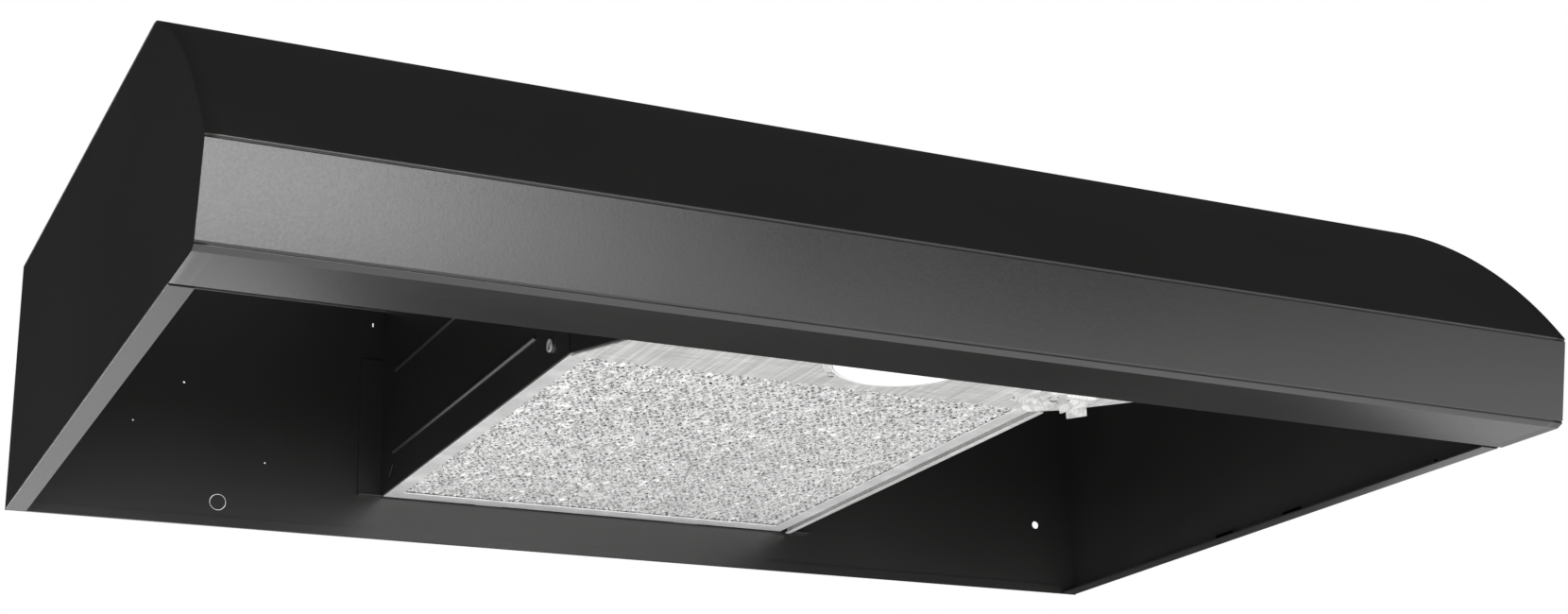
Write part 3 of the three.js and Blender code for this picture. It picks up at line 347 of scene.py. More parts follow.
def piece(name, part, finish, body, nodes=(), thickness=0.0, bevel=0.0, sharp=35.0, weld=1e-6,
          flat=0.0, even=True):
    """A mesh object from one part. Points within the weld distance are merged, which closes
    seams and poles. thickness gives a sheet its wall on the inner side, and even keeps it so
    at the folds; bevel rounds its edges; sharp is the angle from which an edge is drawn
    hard; flat joins faces whose planes turn by less than that many degrees."""
    points, faces = part
    mesh = bpy.data.meshes.new(name)
    mesh.from_pydata(points.tolist(), [], faces.tolist())
    work = bmesh.new()
    work.from_mesh(mesh)
    bmesh.ops.remove_doubles(work, verts=work.verts, dist=weld)
    loose = [v for v in work.verts if not v.link_faces]
    bmesh.ops.delete(work, geom=loose, context="VERTS")
    if flat:
        bmesh.ops.dissolve_limit(
            work, angle_limit=math.radians(flat), verts=work.verts, edges=work.edges)
    work.to_mesh(mesh)
    work.free()
    mesh.materials.append(FINISHES[finish])
    mesh.shade_smooth()
    mesh.set_sharp_from_angle(angle=math.radians(sharp))
    made = linked(name, mesh)
    if thickness:
        wall = made.modifiers.new("Wall", "SOLIDIFY")
        wall.thickness = thickness
        wall.offset = -1
        wall.use_even_offset = even
    if bevel:
        edge = made.modifiers.new("Edges", "BEVEL")
        edge.width = bevel
        edge.segments = 2
        edge.limit_method = "ANGLE"
        edge.angle_limit = math.radians(45)
        edge.harden_normals = True
    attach(made, body)
    if nodes:
        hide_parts(*nodes)
    return made


# ---- shader maths


class Value:
    """A shader socket that holds a number; sums and products of values add Math nodes."""

    def __init__(self, finish, socket):
        self.finish = finish
        self.socket = socket

    def _math(self, operation, first, second):
        return self.finish.node(
            "ShaderNodeMath", {"operation": operation}, {0: first, 1: second})

    def __add__(self, other):
        return self._math("ADD", self, other)

    __radd__ = __add__

    def __sub__(self, other):
        return self._math("SUBTRACT", self, other)

    def __rsub__(self, other):
        return self._math("SUBTRACT", other, self)

    def __mul__(self, other):
        return self._math("MULTIPLY", self, other)

    __rmul__ = __mul__

    def between(self, low, high):
        """0 below low, 1 above high, and a smooth rise between them."""
        return self.finish.node(
            "ShaderNodeMapRange", {"interpolation_type": "SMOOTHSTEP"},
            {"Value": self, "From Min": low, "From Max": high})


class Finish:
    """One material being made: a Principled shader and the nodes that vary it."""

    def __init__(self, name):
        self.material = bpy.data.materials.new(name)
        self.material.use_nodes = True
        self.nodes = self.material.node_tree.nodes
        self.links = self.material.node_tree.links
        self.nodes.clear()
        self.shader = self.nodes.new("ShaderNodeBsdfPrincipled")
        self.output = self.nodes.new("ShaderNodeOutputMaterial")
        self.links.new(self.shader.outputs[0], self.output.inputs["Surface"])
        self.place = self.node("ShaderNodeTexCoord", output="Object")

    def node(self, kind, settings=None, sockets=None, output=0):
        """Adds a node: its settings first, then its sockets by name or number, each a plain
        value or a link. The result is the wrapped output."""
        made = self.nodes.new(kind)
        for key, value in (settings or {}).items():
            setattr(made, key, value)
        for key, value in (sockets or {}).items():
            self.set(made.inputs[key], value)
        return Value(self, made.outputs[output])

    def set(self, socket, value):
        """Links a wrapped output to a socket, or sets the socket's own value."""
        if isinstance(value, Value):
            self.links.new(value.socket, socket)
        elif socket.type == "RGBA" and len(value) == 3:
            socket.default_value = (*value, 1.0)
        else:
            socket.default_value = value

    def stretched(self, scale):
        """Object coordinates multiplied by a scale of (x, y, z)."""
        return self.node("ShaderNodeMapping", None, {"Vector": self.place, "Scale": scale})

    def noise(self, scale, detail=2.0, roughness=0.5, place=None):
        """Noise with features about 1 / scale metres across."""
        return self.node("ShaderNodeTexNoise", None, {
            "Vector": place or self.place, "Scale": scale, "Detail": detail,
            "Roughness": roughness})

    def cells(self, scale, output="Distance"):
        """A cell pattern: the distance to the nearest seed, or a colour for each cell."""
        return self.node("ShaderNodeTexVoronoi", None, {
            "Vector": self.place, "Scale": scale}, output=output)

    def mix(self, amount, first, second):
        """A colour that goes from first to second with the amount."""
        return self.node("ShaderNodeMix", {"data_type": "RGBA"}, {
            0: amount, 6: first, 7: second}, output=2)

    def bump(self, height, strength, distance):
        """A normal that tilts with a height from 0 to 1, distance metres deep."""
        return self.node("ShaderNodeBump", None, {
            "Height": height, "Strength": strength, "Distance": distance})

    def surface(self, **values):
        """Sets or links the Principled shader's sockets; a name's underscores are spaces."""
        for key, value in values.items():
            self.set(self.shader.inputs[key.replace("_", " ")], value)
        return self.material


def grey(level):
    """A grey colour with four channels."""
    return (level, level, level, 1.0)


def scaled(colour, factor):
    """A colour multiplied by a factor, with an alpha of one."""
    return (*[min(c * factor, 1.0) for c in colour], 1.0)


# ---- finishes

FINISHES = {}
KNUCKLES = [f"damper_knuckle_{name}_{i}" for name in ("front", "rear") for i in (1, 2, 3)]
SLOT_OF = {
    node: slot
    for slot, nodes in {
        "black_paint": [
            "outer_shell", "side_panel_left", "side_panel_right", "rear_panel",
            "rear_duct_knockout", "wiring_knockout", "partition_left", "partition_right",
            "housing_front_wall"],
        "galvanised": [
            "light_panel", "filter_rail", "wire_clip", "lamp_bracket", "fan_shroud", "duct_ring",
            "damper_flap_front", "damper_flap_rear", "motor_strap", "wiring_cover", *KNUCKLES],
        "aluminium": ["lamp_trim_ring", "lamp_reflector", "filter_frame", "fan_wheel"],
        "filter_mesh": ["filter_pad"],
        "lamp_white": ["lamp_lens"],
        "bulb_glass": ["lamp_bulb"],
        "black_plastic": ["switch_bezel", "fan_rocker", "light_rocker"],
        "steel": [
            "panel_screw_1", "panel_screw_2", "vent_screw", "trim_screw_1", "trim_screw_2",
            "filter_clip_left", "filter_clip_right", "motor_shaft", "shaft_nut",
            "motor_rotor", "motor_nut_left", "motor_nut_right", "damper_pin"],
        "motor_black": ["motor_winding", "motor_case"],
        "ceramic": ["lamp_socket"],
    }.items()
    for node in nodes
}


def paint_finish(colour):
    """Baked black paint: fine orange peel, a faint mottle in colour and gloss, and dust."""
    f = Finish("black_paint_finish")
    peel = f.noise(620, 2.0, 0.5)
    grain = f.noise(2600, 1.0, 0.5)
    cloud = f.noise(9, 3.0, 0.55)
    speck = f.cells(170).between(0.10, 0.03)
    tone = f.mix(cloud.between(0.3, 0.75), scaled(colour, 0.9), scaled(colour, 1.12))
    tone = f.mix(speck * f.noise(60).between(0.62, 0.8) * 0.5, tone, scaled(colour, 2.6))
    roughness = 0.30 + cloud * 0.05 + (peel - 0.5) * 0.10
    return f.surface(
        Base_Color=tone, Roughness=roughness, IOR=1.8, Specular_IOR_Level=0.5,
        Normal=f.bump(peel + grain * 0.35, 0.28, 0.00012))


def galvanised_finish(colour):
    """Zinc coated sheet: rolling streaks along x, brushing along y, blotches and spangle."""
    f = Finish("galvanised_finish")
    rolled = f.noise(1.0, 4.0, 0.65, f.stretched((26, 900, 400)))
    brushed = f.noise(1.0, 3.0, 0.6, f.stretched((480, 9, 300)))
    blotch = f.noise(34, 3.0, 0.6)
    spangle = f.cells(150, output="Color")
    spangle = f.node("ShaderNodeSeparateColor", None, {"Color": spangle})
    streaks = rolled * 0.45 + brushed * 0.55
    tone = f.mix(streaks.between(0.36, 0.64), scaled(colour, 0.70), scaled(colour, 1.06))
    tone = f.mix(blotch.between(0.45, 0.8) * 0.3, tone, scaled(colour, 0.7))
    roughness = 0.30 + streaks * 0.16 + spangle * 0.07
    return f.surface(
        Base_Color=tone, Metallic=0.55, Roughness=roughness,
        Normal=f.bump(streaks, 0.25, 0.0001))


def aluminium_finish(colour):
    """Rolled aluminium with fine scratches and a soft wear pattern."""
    f = Finish("aluminium_finish")
    scratches = f.noise(1.0, 3.0, 0.6, f.stretched((700, 700, 60)))
    long_marks = f.noise(1.0, 3.0, 0.6, f.stretched((40, 700, 300)))
    wear = f.noise(50, 3.0, 0.6)
    tone = f.mix(wear.between(0.35, 0.75), scaled(colour, 0.86), scaled(colour, 1.04))
    roughness = 0.28 + scratches * 0.10 + wear * 0.10
    return f.surface(
        Base_Color=tone, Metallic=0.55, Roughness=roughness,
        Normal=f.bump(scratches * 0.5 + long_marks * 0.5, 0.18, 0.00008))


def mesh_finish(colour):
    """Slit and stretched aluminium foil: bright, with dull creases and darker flecks."""
    f = Finish("filter_mesh_finish")
    fleck = f.noise(420, 2.0, 0.6)
    crease = f.noise(1500, 1.0, 0.5)
    tone = f.mix(fleck.between(0.34, 0.56), scaled(colour, 0.6), scaled(colour, 1.1))
    return f.surface(
        Base_Color=tone, Metallic=0.6, Roughness=0.34 + crease * 0.22,
        Normal=f.bump(crease, 0.4, 0.00012))


def lens_finish(colour):
    """White pressed glass: a soft ripple, a faint cloud and a glossy face, slightly lit."""
    f = Finish("lamp_lens_finish")
    ripple = f.noise(260, 2.0, 0.5)
    cloud = f.noise(40, 2.0, 0.5)
    tone = f.mix(cloud.between(0.3, 0.8), scaled(colour, 0.95), scaled(colour, 1.03))
    f.surface(
        Base_Color=tone, Roughness=0.22 + ripple * 0.12, Coat_Weight=0.4,
        Emission_Color=(1.0, 0.99, 0.97), Normal=f.bump(ripple, 0.3, 0.0003))
    f.shader.inputs["Emission Strength"].default_value = 0.16
    return f.material


def glass_finish():
    """Frosted bulb glass, warm white."""
    f = Finish("bulb_glass_finish")
    frost = f.noise(300, 2.0, 0.5)
    tone = f.mix(frost, (0.86, 0.82, 0.74, 1), (0.95, 0.93, 0.88, 1))
    return f.surface(Base_Color=tone, Roughness=0.32 + frost * 0.15)


def plastic_finish(colour):
    """Moulded black plastic with a fine spark-eroded grain."""
    f = Finish("black_plastic_finish")
    grain = f.noise(1400, 2.0, 0.6)
    cloud = f.noise(60, 2.0, 0.5)
    tone = f.mix(cloud, scaled(colour, 0.85), scaled(colour, 1.3))
    return f.surface(
        Base_Color=tone, Roughness=0.40 + grain * 0.14, Normal=f.bump(grain, 0.25, 0.00006))


def steel_finish():
    """Plated steel screws, clips and pins, with turning marks."""
    f = Finish("plated_steel_finish")
    marks = f.noise(1.0, 3.0, 0.6, f.stretched((900, 900, 2400)))
    stain = f.noise(220, 2.0, 0.6)
    tone = f.mix(stain, (0.50, 0.50, 0.49, 1), (0.72, 0.72, 0.70, 1))
    return f.surface(
        Base_Color=tone, Metallic=1.0, Roughness=0.22 + marks * 0.2,
        Normal=f.bump(marks, 0.2, 0.00005))


def motor_finish():
    """Cast grain under satin black enamel."""
    f = Finish("motor_black_finish")
    cast = f.noise(420, 3.0, 0.6)
    dust = f.noise(45, 3.0, 0.6)
    tone = f.mix(dust.between(0.5, 0.85), (0.016, 0.016, 0.017, 1), (0.05, 0.048, 0.045, 1))
    return f.surface(
        Base_Color=tone, Roughness=0.46 + dust * 0.2, Normal=f.bump(cast, 0.35, 0.0002))


def ceramic_finish(colour):
    """Glazed ceramic with faint pits."""
    f = Finish("ceramic_finish")
    pits = f.cells(420).between(0.16, 0.05)
    cloud = f.noise(90, 2.0, 0.5)
    tone = f.mix(cloud, scaled(colour, 0.9), scaled(colour, 1.08))
    return f.surface(
        Base_Color=tone, Roughness=0.28 + cloud * 0.12, Normal=f.bump(1 - pits, 0.2, 0.0001))


class HOOD_OT_finishes(bpy.types.Operator):
    """Makes every finish and gives it to the nodes that keep their own shape"""

    bl_idname = "hood.finishes"
    bl_label = "Finishes"

    def execute(self, context):
        colours = context.scene.hood_finishes
        FINISHES.update({
            "black_paint": paint_finish(colours.paint),
            "galvanised": galvanised_finish(colours.steel),
            "aluminium": aluminium_finish(colours.aluminium),
            "filter_mesh": mesh_finish(colours.aluminium),
            "lamp_white": lens_finish(colours.lens),
            "bulb_glass": glass_finish(),
            "black_plastic": plastic_finish(colours.plastic),
            "steel": steel_finish(),
            "motor_black": motor_finish(),
            "ceramic": ceramic_finish(colours.ceramic),
        })
        for node, made in frame["nodes"].items():
            made.material_slots[0].material = FINISHES[SLOT_OF[node]]
        return {"FINISHED"}


# ---- shell and sides


def wrap_line(s, pressed=True):
    """The outer line of the wrapped sheet in (y, z), from the wall forwards: flat top, bend,
    visor arc, crease, face, slanted strip, lip and upturned edge. The visor arc ends at the
    crease with its given slope; the bend touches both the arc and the top. A pressed line
    has a groove above the face and another below it; a plain one has softer folds, so that
    it can be moved inwards without crossing itself."""
    crease = np.array([FRONT_Y, RIM_Z + s.crease_height])
    slope = s.crease_angle
    centre = crease + s.visor_radius * np.array([math.sin(slope), -math.cos(slope)])
    bend_z = TOP_Z - s.top_bend_radius
    inner = s.visor_radius - s.top_bend_radius
    bend_y = centre[0] - math.sqrt(inner ** 2 - (bend_z - centre[1]) ** 2)
    meet = math.atan2(bend_z - centre[1], bend_y - centre[0])
    down = np.array([s.face_slope, -1.0])
    lip_end = np.array([FRONT_Y + s.lip_end, RIM_Z])
    groove = np.array([s.groove_depth, 0.0])
    half = down * s.groove_height / 2
    foot = crease + down * (s.crease_height - s.foot_height)
    bead = foot + down * s.groove_height
    strip_end = np.array([bead[0] + s.foot_depth, RIM_Z])
    arrival = np.array([-math.cos(slope), -math.sin(slope)])
    if pressed:
        corners = [crease + half + groove, crease + 2 * half, foot, foot + half + groove, bead]
        valley, ridge, bead_bend, strip_bend = 0.2 * MM, 0.3 * MM, 0.5 * MM, 1.2 * MM
        radii = [valley, ridge, ridge, valley, bead_bend, strip_bend]
        bend = s.crease_bend
    else:
        corners = [bead]
        bend = 2 * MM
        radii = [bend, bend]
    crease_arc = fillet(crease, crease - arrival, corners[0], bend, 8)
    short = np.linalg.norm(crease_arc[0] - crease) / s.visor_radius
    return np.concatenate([
        [[WALL_Y, TOP_Z]],
        arc((bend_y, bend_z), s.top_bend_radius, math.pi / 2, meet, 12),
        arc(centre, s.visor_radius, meet, math.pi / 2 + slope - short, 44)[1:-1],
        crease_arc,
        rounded_line(
            [crease_arc[-1], *corners, strip_end, lip_end, lip_end + [0, s.lip_return]],
            [*radii, s.fold_bend], 6)[1:],
    ])


class HOOD_OT_shell(bpy.types.Operator):
    """The wrapped sheet: top, visor, face and lip in one piece, with its holes"""

    bl_idname = "hood.shell"
    bl_label = "Wrapped sheet"

    def execute(self, context):
        s = context.scene.hood_shell
        line = wrap_line(s)
        bend_start = line[1][0]
        length = np.concatenate([[0], np.cumsum(np.linalg.norm(np.diff(line, axis=0), axis=1))])
        hole_margin, key_patch = 0.012, 0.021
        along_step, edge_step, key_step, wide_step, duct_step = 0.004, 0.01, 0.003, 0.012, 0.005
        fan_x, fan_y, _ = centre_of("duct_ring")
        duct_hole = (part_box("damper_flap_front")[1].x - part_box("damper_flap_front")[0].x) / 2 \
            + 2 * s.duct_clearance
        patch = duct_hole + hole_margin
        key_x = HALF_WIDTH - s.keyhole_inset
        rear_key = s.keyhole_rear
        front_key = WALL_Y - bend_start - s.keyhole_front
        duct_u = WALL_Y - fan_y
        u_breaks = sorted({
            0.0, rear_key - key_patch, rear_key + key_patch, duct_u - patch, duct_u + patch,
            front_key - key_patch, front_key + key_patch, length[1]})
        us = spaced(u_breaks, along_step)
        us = np.unique(np.round(np.concatenate([us, length[1:]]), 9))
        x_breaks = sorted({
            -HALF_WIDTH, HALF_WIDTH, fan_x - patch, fan_x + patch,
            *[side * key_x + d for side in (-1, 1) for d in (-key_patch, key_patch)]})
        xs = spaced(x_breaks, [
            edge_step, key_step, wide_step, duct_step, wide_step, key_step, edge_step])
        us = snapped(us, u_breaks)
        head = slot_hole(s.keyhole_radius, s.keyhole_slot, s.keyhole_length, math.pi)
        holes = [((duct_u, fan_x), patch, round_hole(duct_hole))]
        holes += [((u, x), key_patch, head)
                  for x in (-key_x, key_x) for u in (rear_key, front_key)]
        blank, faces = pierced(us, xs, holes)
        y = np.interp(blank[:, 0], length, line[:, 0])
        z = np.interp(blank[:, 0], length, line[:, 1])
        fold_margin = 2 * MM
        upturned = blank[:, 0] > length[-1] - s.lip_return + fold_margin
        limit = np.where(upturned, HALF_WIDTH - s.sheet - SHELL_GAP, HALF_WIDTH)
        x = np.clip(blank[:, 1], -limit, limit)
        piece("wrapped_sheet", (np.stack([x, y, z], 1), faces[:, ::-1]), "black_paint", "chassis",
              ["outer_shell"], thickness=s.sheet, even=False)
        return {"FINISHED"}


def snapped(values, marks):
    """Values with any that lies within a tenth of a millimetre of a mark moved onto it."""
    marks = np.asarray(marks)
    nearest = marks[np.abs(values[:, None] - marks[None]).argmin(axis=1)]
    return np.unique(np.where(np.abs(values - nearest) < 1e-4, nearest, values))


class HOOD_OT_side_panels(bpy.types.Operator):
    """The two flat sides, each with a rounded fold and a turned-in flange"""

    bl_idname = "hood.side_panels"
    bl_label = "Side panels"

    def execute(self, context):
        s = context.scene.hood_shell
        inside = line_offset(wrap_line(s, pressed=False), s.sheet + SHELL_GAP)
        front = int(inside[:, 0].argmin())
        upper = inside[:front + 1][::-1]
        lower = inside[front:-1]
        back = WALL_Y - s.sheet - SHELL_GAP
        seam = FRONT_Y + s.lip_end + SHELL_GAP
        seam_margin, run_step = 2 * MM, 0.012
        columns = np.unique(np.round(np.concatenate([
            upper[:, 0], lower[lower[:, 0] < seam - seam_margin, 0],
            spaced([seam, back], run_step),
        ]), 7))
        columns = columns[columns <= back + 1e-9]
        top = np.interp(columns, upper[:, 0], upper[:, 1])
        base = np.interp(columns, lower[:, 0], lower[:, 1])
        base = np.where(columns >= seam - 1e-9, RIM_Z + s.fold_bend, base)
        t = np.linspace(0, 1, 16)[:, None]
        z = base + (top - base) * t
        wall = np.stack([np.zeros_like(z), np.broadcast_to(columns, z.shape), z], axis=-1)
        fold = rounded_line(
            [[0, RIM_Z + s.fold_bend], [0, RIM_Z], [s.side_flange, RIM_Z]],
            [s.fold_bend - 1e-6], 8)
        run = columns[columns >= seam - 1e-9]
        flange = np.stack(np.broadcast_arrays(
            fold[:, :1], run[None], fold[:, 1:]), axis=-1)
        for side, name in ((-1, "left"), (1, "right")):
            parts = []
            for part, flip in ((wall, side < 0), (flange, side > 0)):
                moved = part.copy()
                moved[..., 0] = side * (HALF_WIDTH - part[..., 0])
                parts.append(surface(moved, flip=flip))
            piece(f"side_{name}", joined(parts), "black_paint", "chassis",
                  [f"side_panel_{name}"], thickness=s.sheet, bevel=0.0002)
        return {"FINISHED"}


# ---- filter


def strand_layer(low, high, z, s, rng, tilt, turn):
    """A layer of stretched foil. Strand i runs along y at x = i * pitch and zigzags by nearly
    half a pitch, every other point the opposite way. Each strand starts at a random distance,
    each point is pushed by a random step, more along the strand than upwards, and the
    four-cornered section turns about the strand by the tilt and a random angle. A turned
    layer's strands run along x instead."""
    zigzag, push_along, push_up, twist = 0.46, 1.4, 0.4, 0.30
    if turn:
        low, high = low[[1, 0]], high[[1, 0]]
    across = np.arange(low[0] + s.strand_pitch / 2, high[0], s.strand_pitch)
    along = np.arange(low[1] - s.knot_pitch, high[1] + s.knot_pitch, s.knot_pitch)
    i, j = np.meshgrid(np.arange(len(across)), np.arange(len(along)), indexing="ij")
    sign = np.where((i + j) % 2 == 0, 1.0, -1.0)
    push = rng.normal(0, s.crumple, (3, *i.shape))
    x = across[i] + sign * s.strand_pitch * zigzag + push[0]
    y = along[j] + rng.uniform(0, s.knot_pitch, (len(across), 1)) + push[1] * push_along
    height = z + push[2] * push_up
    angle = tilt * sign + rng.normal(0, twist, i.shape)
    half_w, half_t = s.strand_width / 2, s.strand_thickness / 2
    corner_x = np.array([-half_w, half_w, half_w, -half_w])
    corner_z = np.array([-half_t, -half_t, half_t, half_t])
    cos, sin = np.cos(angle)[..., None], np.sin(angle)[..., None]
    px = np.clip(x[..., None] + corner_x * cos - corner_z * sin, low[0], high[0])
    py = np.clip(np.broadcast_to(y[..., None], px.shape), low[1], high[1])
    pz = height[..., None] + corner_x * sin + corner_z * cos
    points = np.stack([py, px, pz] if turn else [px, py, pz], axis=-1)
    one = grid_faces(len(along), 4, wrap_columns=True)
    caps = np.array([[3, 2, 1, 0], [0, 1, 2, 3]]) + [[0], [(len(along) - 1) * 4]]
    one = np.concatenate([one, caps])
    one = one if turn else one[:, ::-1]
    starts = np.arange(len(across)) * len(along) * 4
    faces = (one[None] + starts[:, None, None]).reshape(-1, 4)
    return points.reshape(-1, 3), faces


class HOOD_OT_filter(bpy.types.Operator):
    """The grease filter's woven pad, in layers of crumpled foil strands"""

    bl_idname = "hood.filter"
    bl_label = "Grease filter"

    def execute(self, context):
        s = context.scene.hood_filter
        low, high = (np.array(corner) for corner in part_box("filter_pad"))
        rng = np.random.default_rng(s.seed)
        # name, height above the pad's underside, tilt of the strands, turned
        layers = [("front", 0.0003, 0.2, False), ("middle", 0.0010, -0.2, True),
                  ("back", 0.0016, 0.3, False)]
        for name, rise, tilt, turn in layers:
            part = strand_layer(low[:2], high[:2], low[2] + rise, s, rng, tilt, turn)
            piece(f"filter_strands_{name}", part, "filter_mesh", "filter", ["filter_pad"],
                  weld=1e-9)
        return {"FINISHED"}


# ---- lamp


class HOOD_OT_lamp(bpy.types.Operator):
    """The lamp's crowned lens and rolled trim ring"""

    bl_idname = "hood.lamp"
    bl_label = "Lamp"

    def execute(self, context):
        low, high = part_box("lamp_lens")
        centre = centre_of("lamp_lens")[:2]
        radius = (high.x - low.x) / 2
        wall, edge, rise, roundness = 1.6 * MM, 1.2 * MM, 3.6 * MM, 2.2
        a = np.linspace(0, math.pi / 2, 7)
        crown = np.linspace(0, 1, 14)
        rim_z = low.z + rise
        outer = np.stack([
            crown * (radius - edge), low.z + (rim_z - low.z) * crown ** roundness], 1)
        corner = np.stack([
            radius - edge + edge * np.sin(a), rim_z + edge * (1 - np.cos(a))], 1)
        inner = np.stack([
            crown[::-1] * (radius - wall),
            low.z + wall + (rim_z - low.z) * crown[::-1] ** roundness], 1)
        profile = np.concatenate([
            outer, corner[1:], [[radius, high.z], [radius - wall, high.z]], inner])
        piece("lens_glass", turned(profile, centre, 72), "lamp_white", "lens", ["lamp_lens"])
        ring_low, ring_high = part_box("lamp_trim_ring")
        ring_radius = (ring_high.x - ring_low.x) / 2
        gap, lip_radius, lip_share, valley_share = 0.3 * MM, 0.6 * MM, 0.72, 0.35
        bore = radius + gap
        height = ring_high.z - ring_low.z
        bead = arc((bore + height / 2, ring_low.z + height / 2), height / 2,
                   math.pi, 2 * math.pi, 10)
        lip = arc((ring_radius - lip_radius, ring_low.z + height * lip_share), lip_radius,
                  -math.pi / 2, 0, 6)
        profile = np.concatenate([
            bead, [[bore + height + gap, ring_low.z + height * valley_share]],
            lip, [[ring_radius, ring_high.z], [bore, ring_high.z], bead[0]]])
        piece("trim_ring", turned(profile, centre, 72), "aluminium", "chassis",
              ["lamp_trim_ring"])
        return {"FINISHED"}


# ---- vent


class HOOD_OT_vent(bpy.types.Operator):
    """The curved louvres that stand in the light panel's round vent"""

    bl_idname = "hood.vent"
    bl_label = "Vent louvres"

    def execute(self, context):
        """Louvre i follows the slot's curve, whose radius grows evenly with its angle, and
        dips below its middle on one side of the slot and rises above it on the other. Its
        width is half_width * sqrt(sin(pi * (root + span * t))), t from 0 at the hub to 1."""
        s = context.scene.hood_vent
        x, y, _ = centre_of("vent_screw")
        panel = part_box("light_panel")[1].z
        root, span, below, wall = 0.09, 0.86, 0.9 * MM, 0.7 * MM
        t = np.linspace(0, 1, 14)
        radius = s.hub + (s.rim - s.hub) * t
        width = s.half_width * np.sin(math.pi * np.clip(t * span + root, 0, 1)) ** 0.5
        across = np.linspace(-1, 1, 7)
        parts = []
        for i in range(s.count):
            a = s.start + 2 * math.pi * i / s.count + s.sweep * t
            line = np.stack([x + radius * np.cos(a), y + radius * np.sin(a)], 1)
            step = np.gradient(line, axis=0)
            step /= np.linalg.norm(step, axis=1)[:, None]
            side = np.stack([-step[:, 1], step[:, 0]], 1)
            flat = line[:, None] + side[:, None] * (width[:, None] * across)[..., None]
            height = panel - s.dip * np.sin(across * math.pi / 2) * width[:, None] / s.half_width
            height = height - below - s.drop * (width / s.half_width)[:, None]
            parts.append(surface(np.dstack([flat, height])))
        made = piece("vent_louvres", joined(parts), "galvanised", "chassis", thickness=wall)
        return {"FINISHED"}


# ---- pressed and small pieces


class HOOD_OT_small_pieces(bpy.types.Operator):
    """The remaining pieces, with closed seams, smooth curves and softened edges"""

    bl_idname = "hood.small_pieces"
    bl_label = "Pressed and small pieces"

    def execute(self, context):
        for node, (bevel, sharp) in SOFTENED.items():
            source = frame["nodes"][node].data
            points = np.empty(len(source.vertices) * 3)
            source.vertices.foreach_get("co", points)
            corners = np.empty(len(source.loops), np.int64)
            source.loops.foreach_get("vertex_index", corners)
            part = (points.reshape(-1, 3), corners.reshape(-1, 3))
            piece(f"{node}_sheet", part, SLOT_OF[node], BODY_OF[node], [node], bevel=bevel,
                  sharp=sharp, weld=2e-6, flat=0.4)
        return {"FINISHED"}


BODY_OF = {
    node: body
    for body, nodes in frame["record"]["behaviour"]["bodies"].items()
    for node in nodes
}
# Each node's bevel, and the angle from which its edges are drawn hard.
SOFTENED = {
    **dict.fromkeys([
        "rear_panel", "rear_duct_knockout", "partition_left", "partition_right",
        "filter_rail", "housing_front_wall", "wiring_cover", "light_panel", "lamp_bracket",
        "motor_strap", "fan_shroud", "filter_frame"], (0.25 * MM, 32.0)),
    **dict.fromkeys([
        "wiring_knockout", "wire_clip", "duct_ring", "damper_flap_front",
        "damper_flap_rear", "lamp_reflector", "lamp_socket", "lamp_bulb", "fan_wheel",
        "motor_case", "motor_rotor", "motor_winding", "motor_shaft", "shaft_nut",
        "damper_pin", "filter_clip_left", "filter_clip_right"], (0.15 * MM, 32.0)),
    **dict.fromkeys([
        "panel_screw_1", "panel_screw_2", "vent_screw", "trim_screw_1", "trim_screw_2",
        "motor_nut_left", "motor_nut_right"], (0.1 * MM, 50.0)),
    **dict.fromkeys(KNUCKLES, (0.1 * MM, 40.0)),
    **dict.fromkeys(["switch_bezel", "fan_rocker", "light_rocker"], (0.4 * MM, 30.0)),
}


# ---- studio


# Name, place, the point it faces, width and height, watts, and whether gloss reflects it.
LIGHTS = [
    ("front_softbox", (-0.42, -2.25, -0.05), (0.0, -0.475, -0.10), (1.6, 0.9), 26.5, True),
    ("right_softbox", (2.0, -1.7, 0.0), (0.2, -0.3, -0.10), (1.4, 1.2), 3.2, True),
    ("top_softbox", (0.0, -0.3, 2.6), (0.0, -0.2, 0.0), (3.2, 2.6), 24, False),
    ("rear_softbox", (-0.8, 2.8, 0.6), (0.0, 0.0, -0.1), (2.4, 1.6), 22, False),
    ("low_strip", (-1.55, 2.85, -0.60), (-0.38, -0.3, -0.15), (1.6, 0.25), 4, True),
    ("bounce", (0.1, -0.35, RIM_Z - 0.5), (0.1, -0.3, 0.0), (2.0, 1.5), 7, False),
]

# Where the camera stands, the directions to its right and upwards, and the lens's shift.
CAMERA_PLACE = (-0.571825, -1.378022, RIM_Z - 0.336521)
CAMERA_RIGHT = (0.89651339, -0.44230412, -0.02511606)
CAMERA_UP = (-0.11278706, -0.28270033, 0.95255425)
CAMERA_SHIFT = (0.00826, 0.0248)


def placement(place, right, up, back):
    """The matrix of something at a place, from the directions of its own axes."""
    basis = np.eye(4)
    basis[:3, :3] = np.stack([right, up, back], axis=1)
    basis[:3, 3] = place
    return Matrix(basis.tolist())


def area_light(name, place, aim, size, power, glossy):
    """A rectangular soft light at a place, facing a point."""
    data = bpy.data.lights.new(name, "AREA")
    data.shape = "RECTANGLE"
    data.size, data.size_y = size
    data.energy = power
    made = linked(name, data)
    direction = np.subtract(aim, place)
    back = -direction / np.linalg.norm(direction)
    side = np.cross([0, 0, 1.0], back)
    side /= np.linalg.norm(side)
    made.matrix_world = placement(place, side, np.cross(back, side), back)
    made.visible_glossy = glossy
    made.visible_camera = False


def stage_plane(name, corners, z, material):
    """A flat four-cornered piece of the studio at a height."""
    mesh = bpy.data.meshes.new(name)
    mesh.from_pydata([(x, y, z) for x, y in corners], [], [(0, 1, 2, 3)])
    mesh.materials.append(material)
    made = linked(name, mesh)
    return made


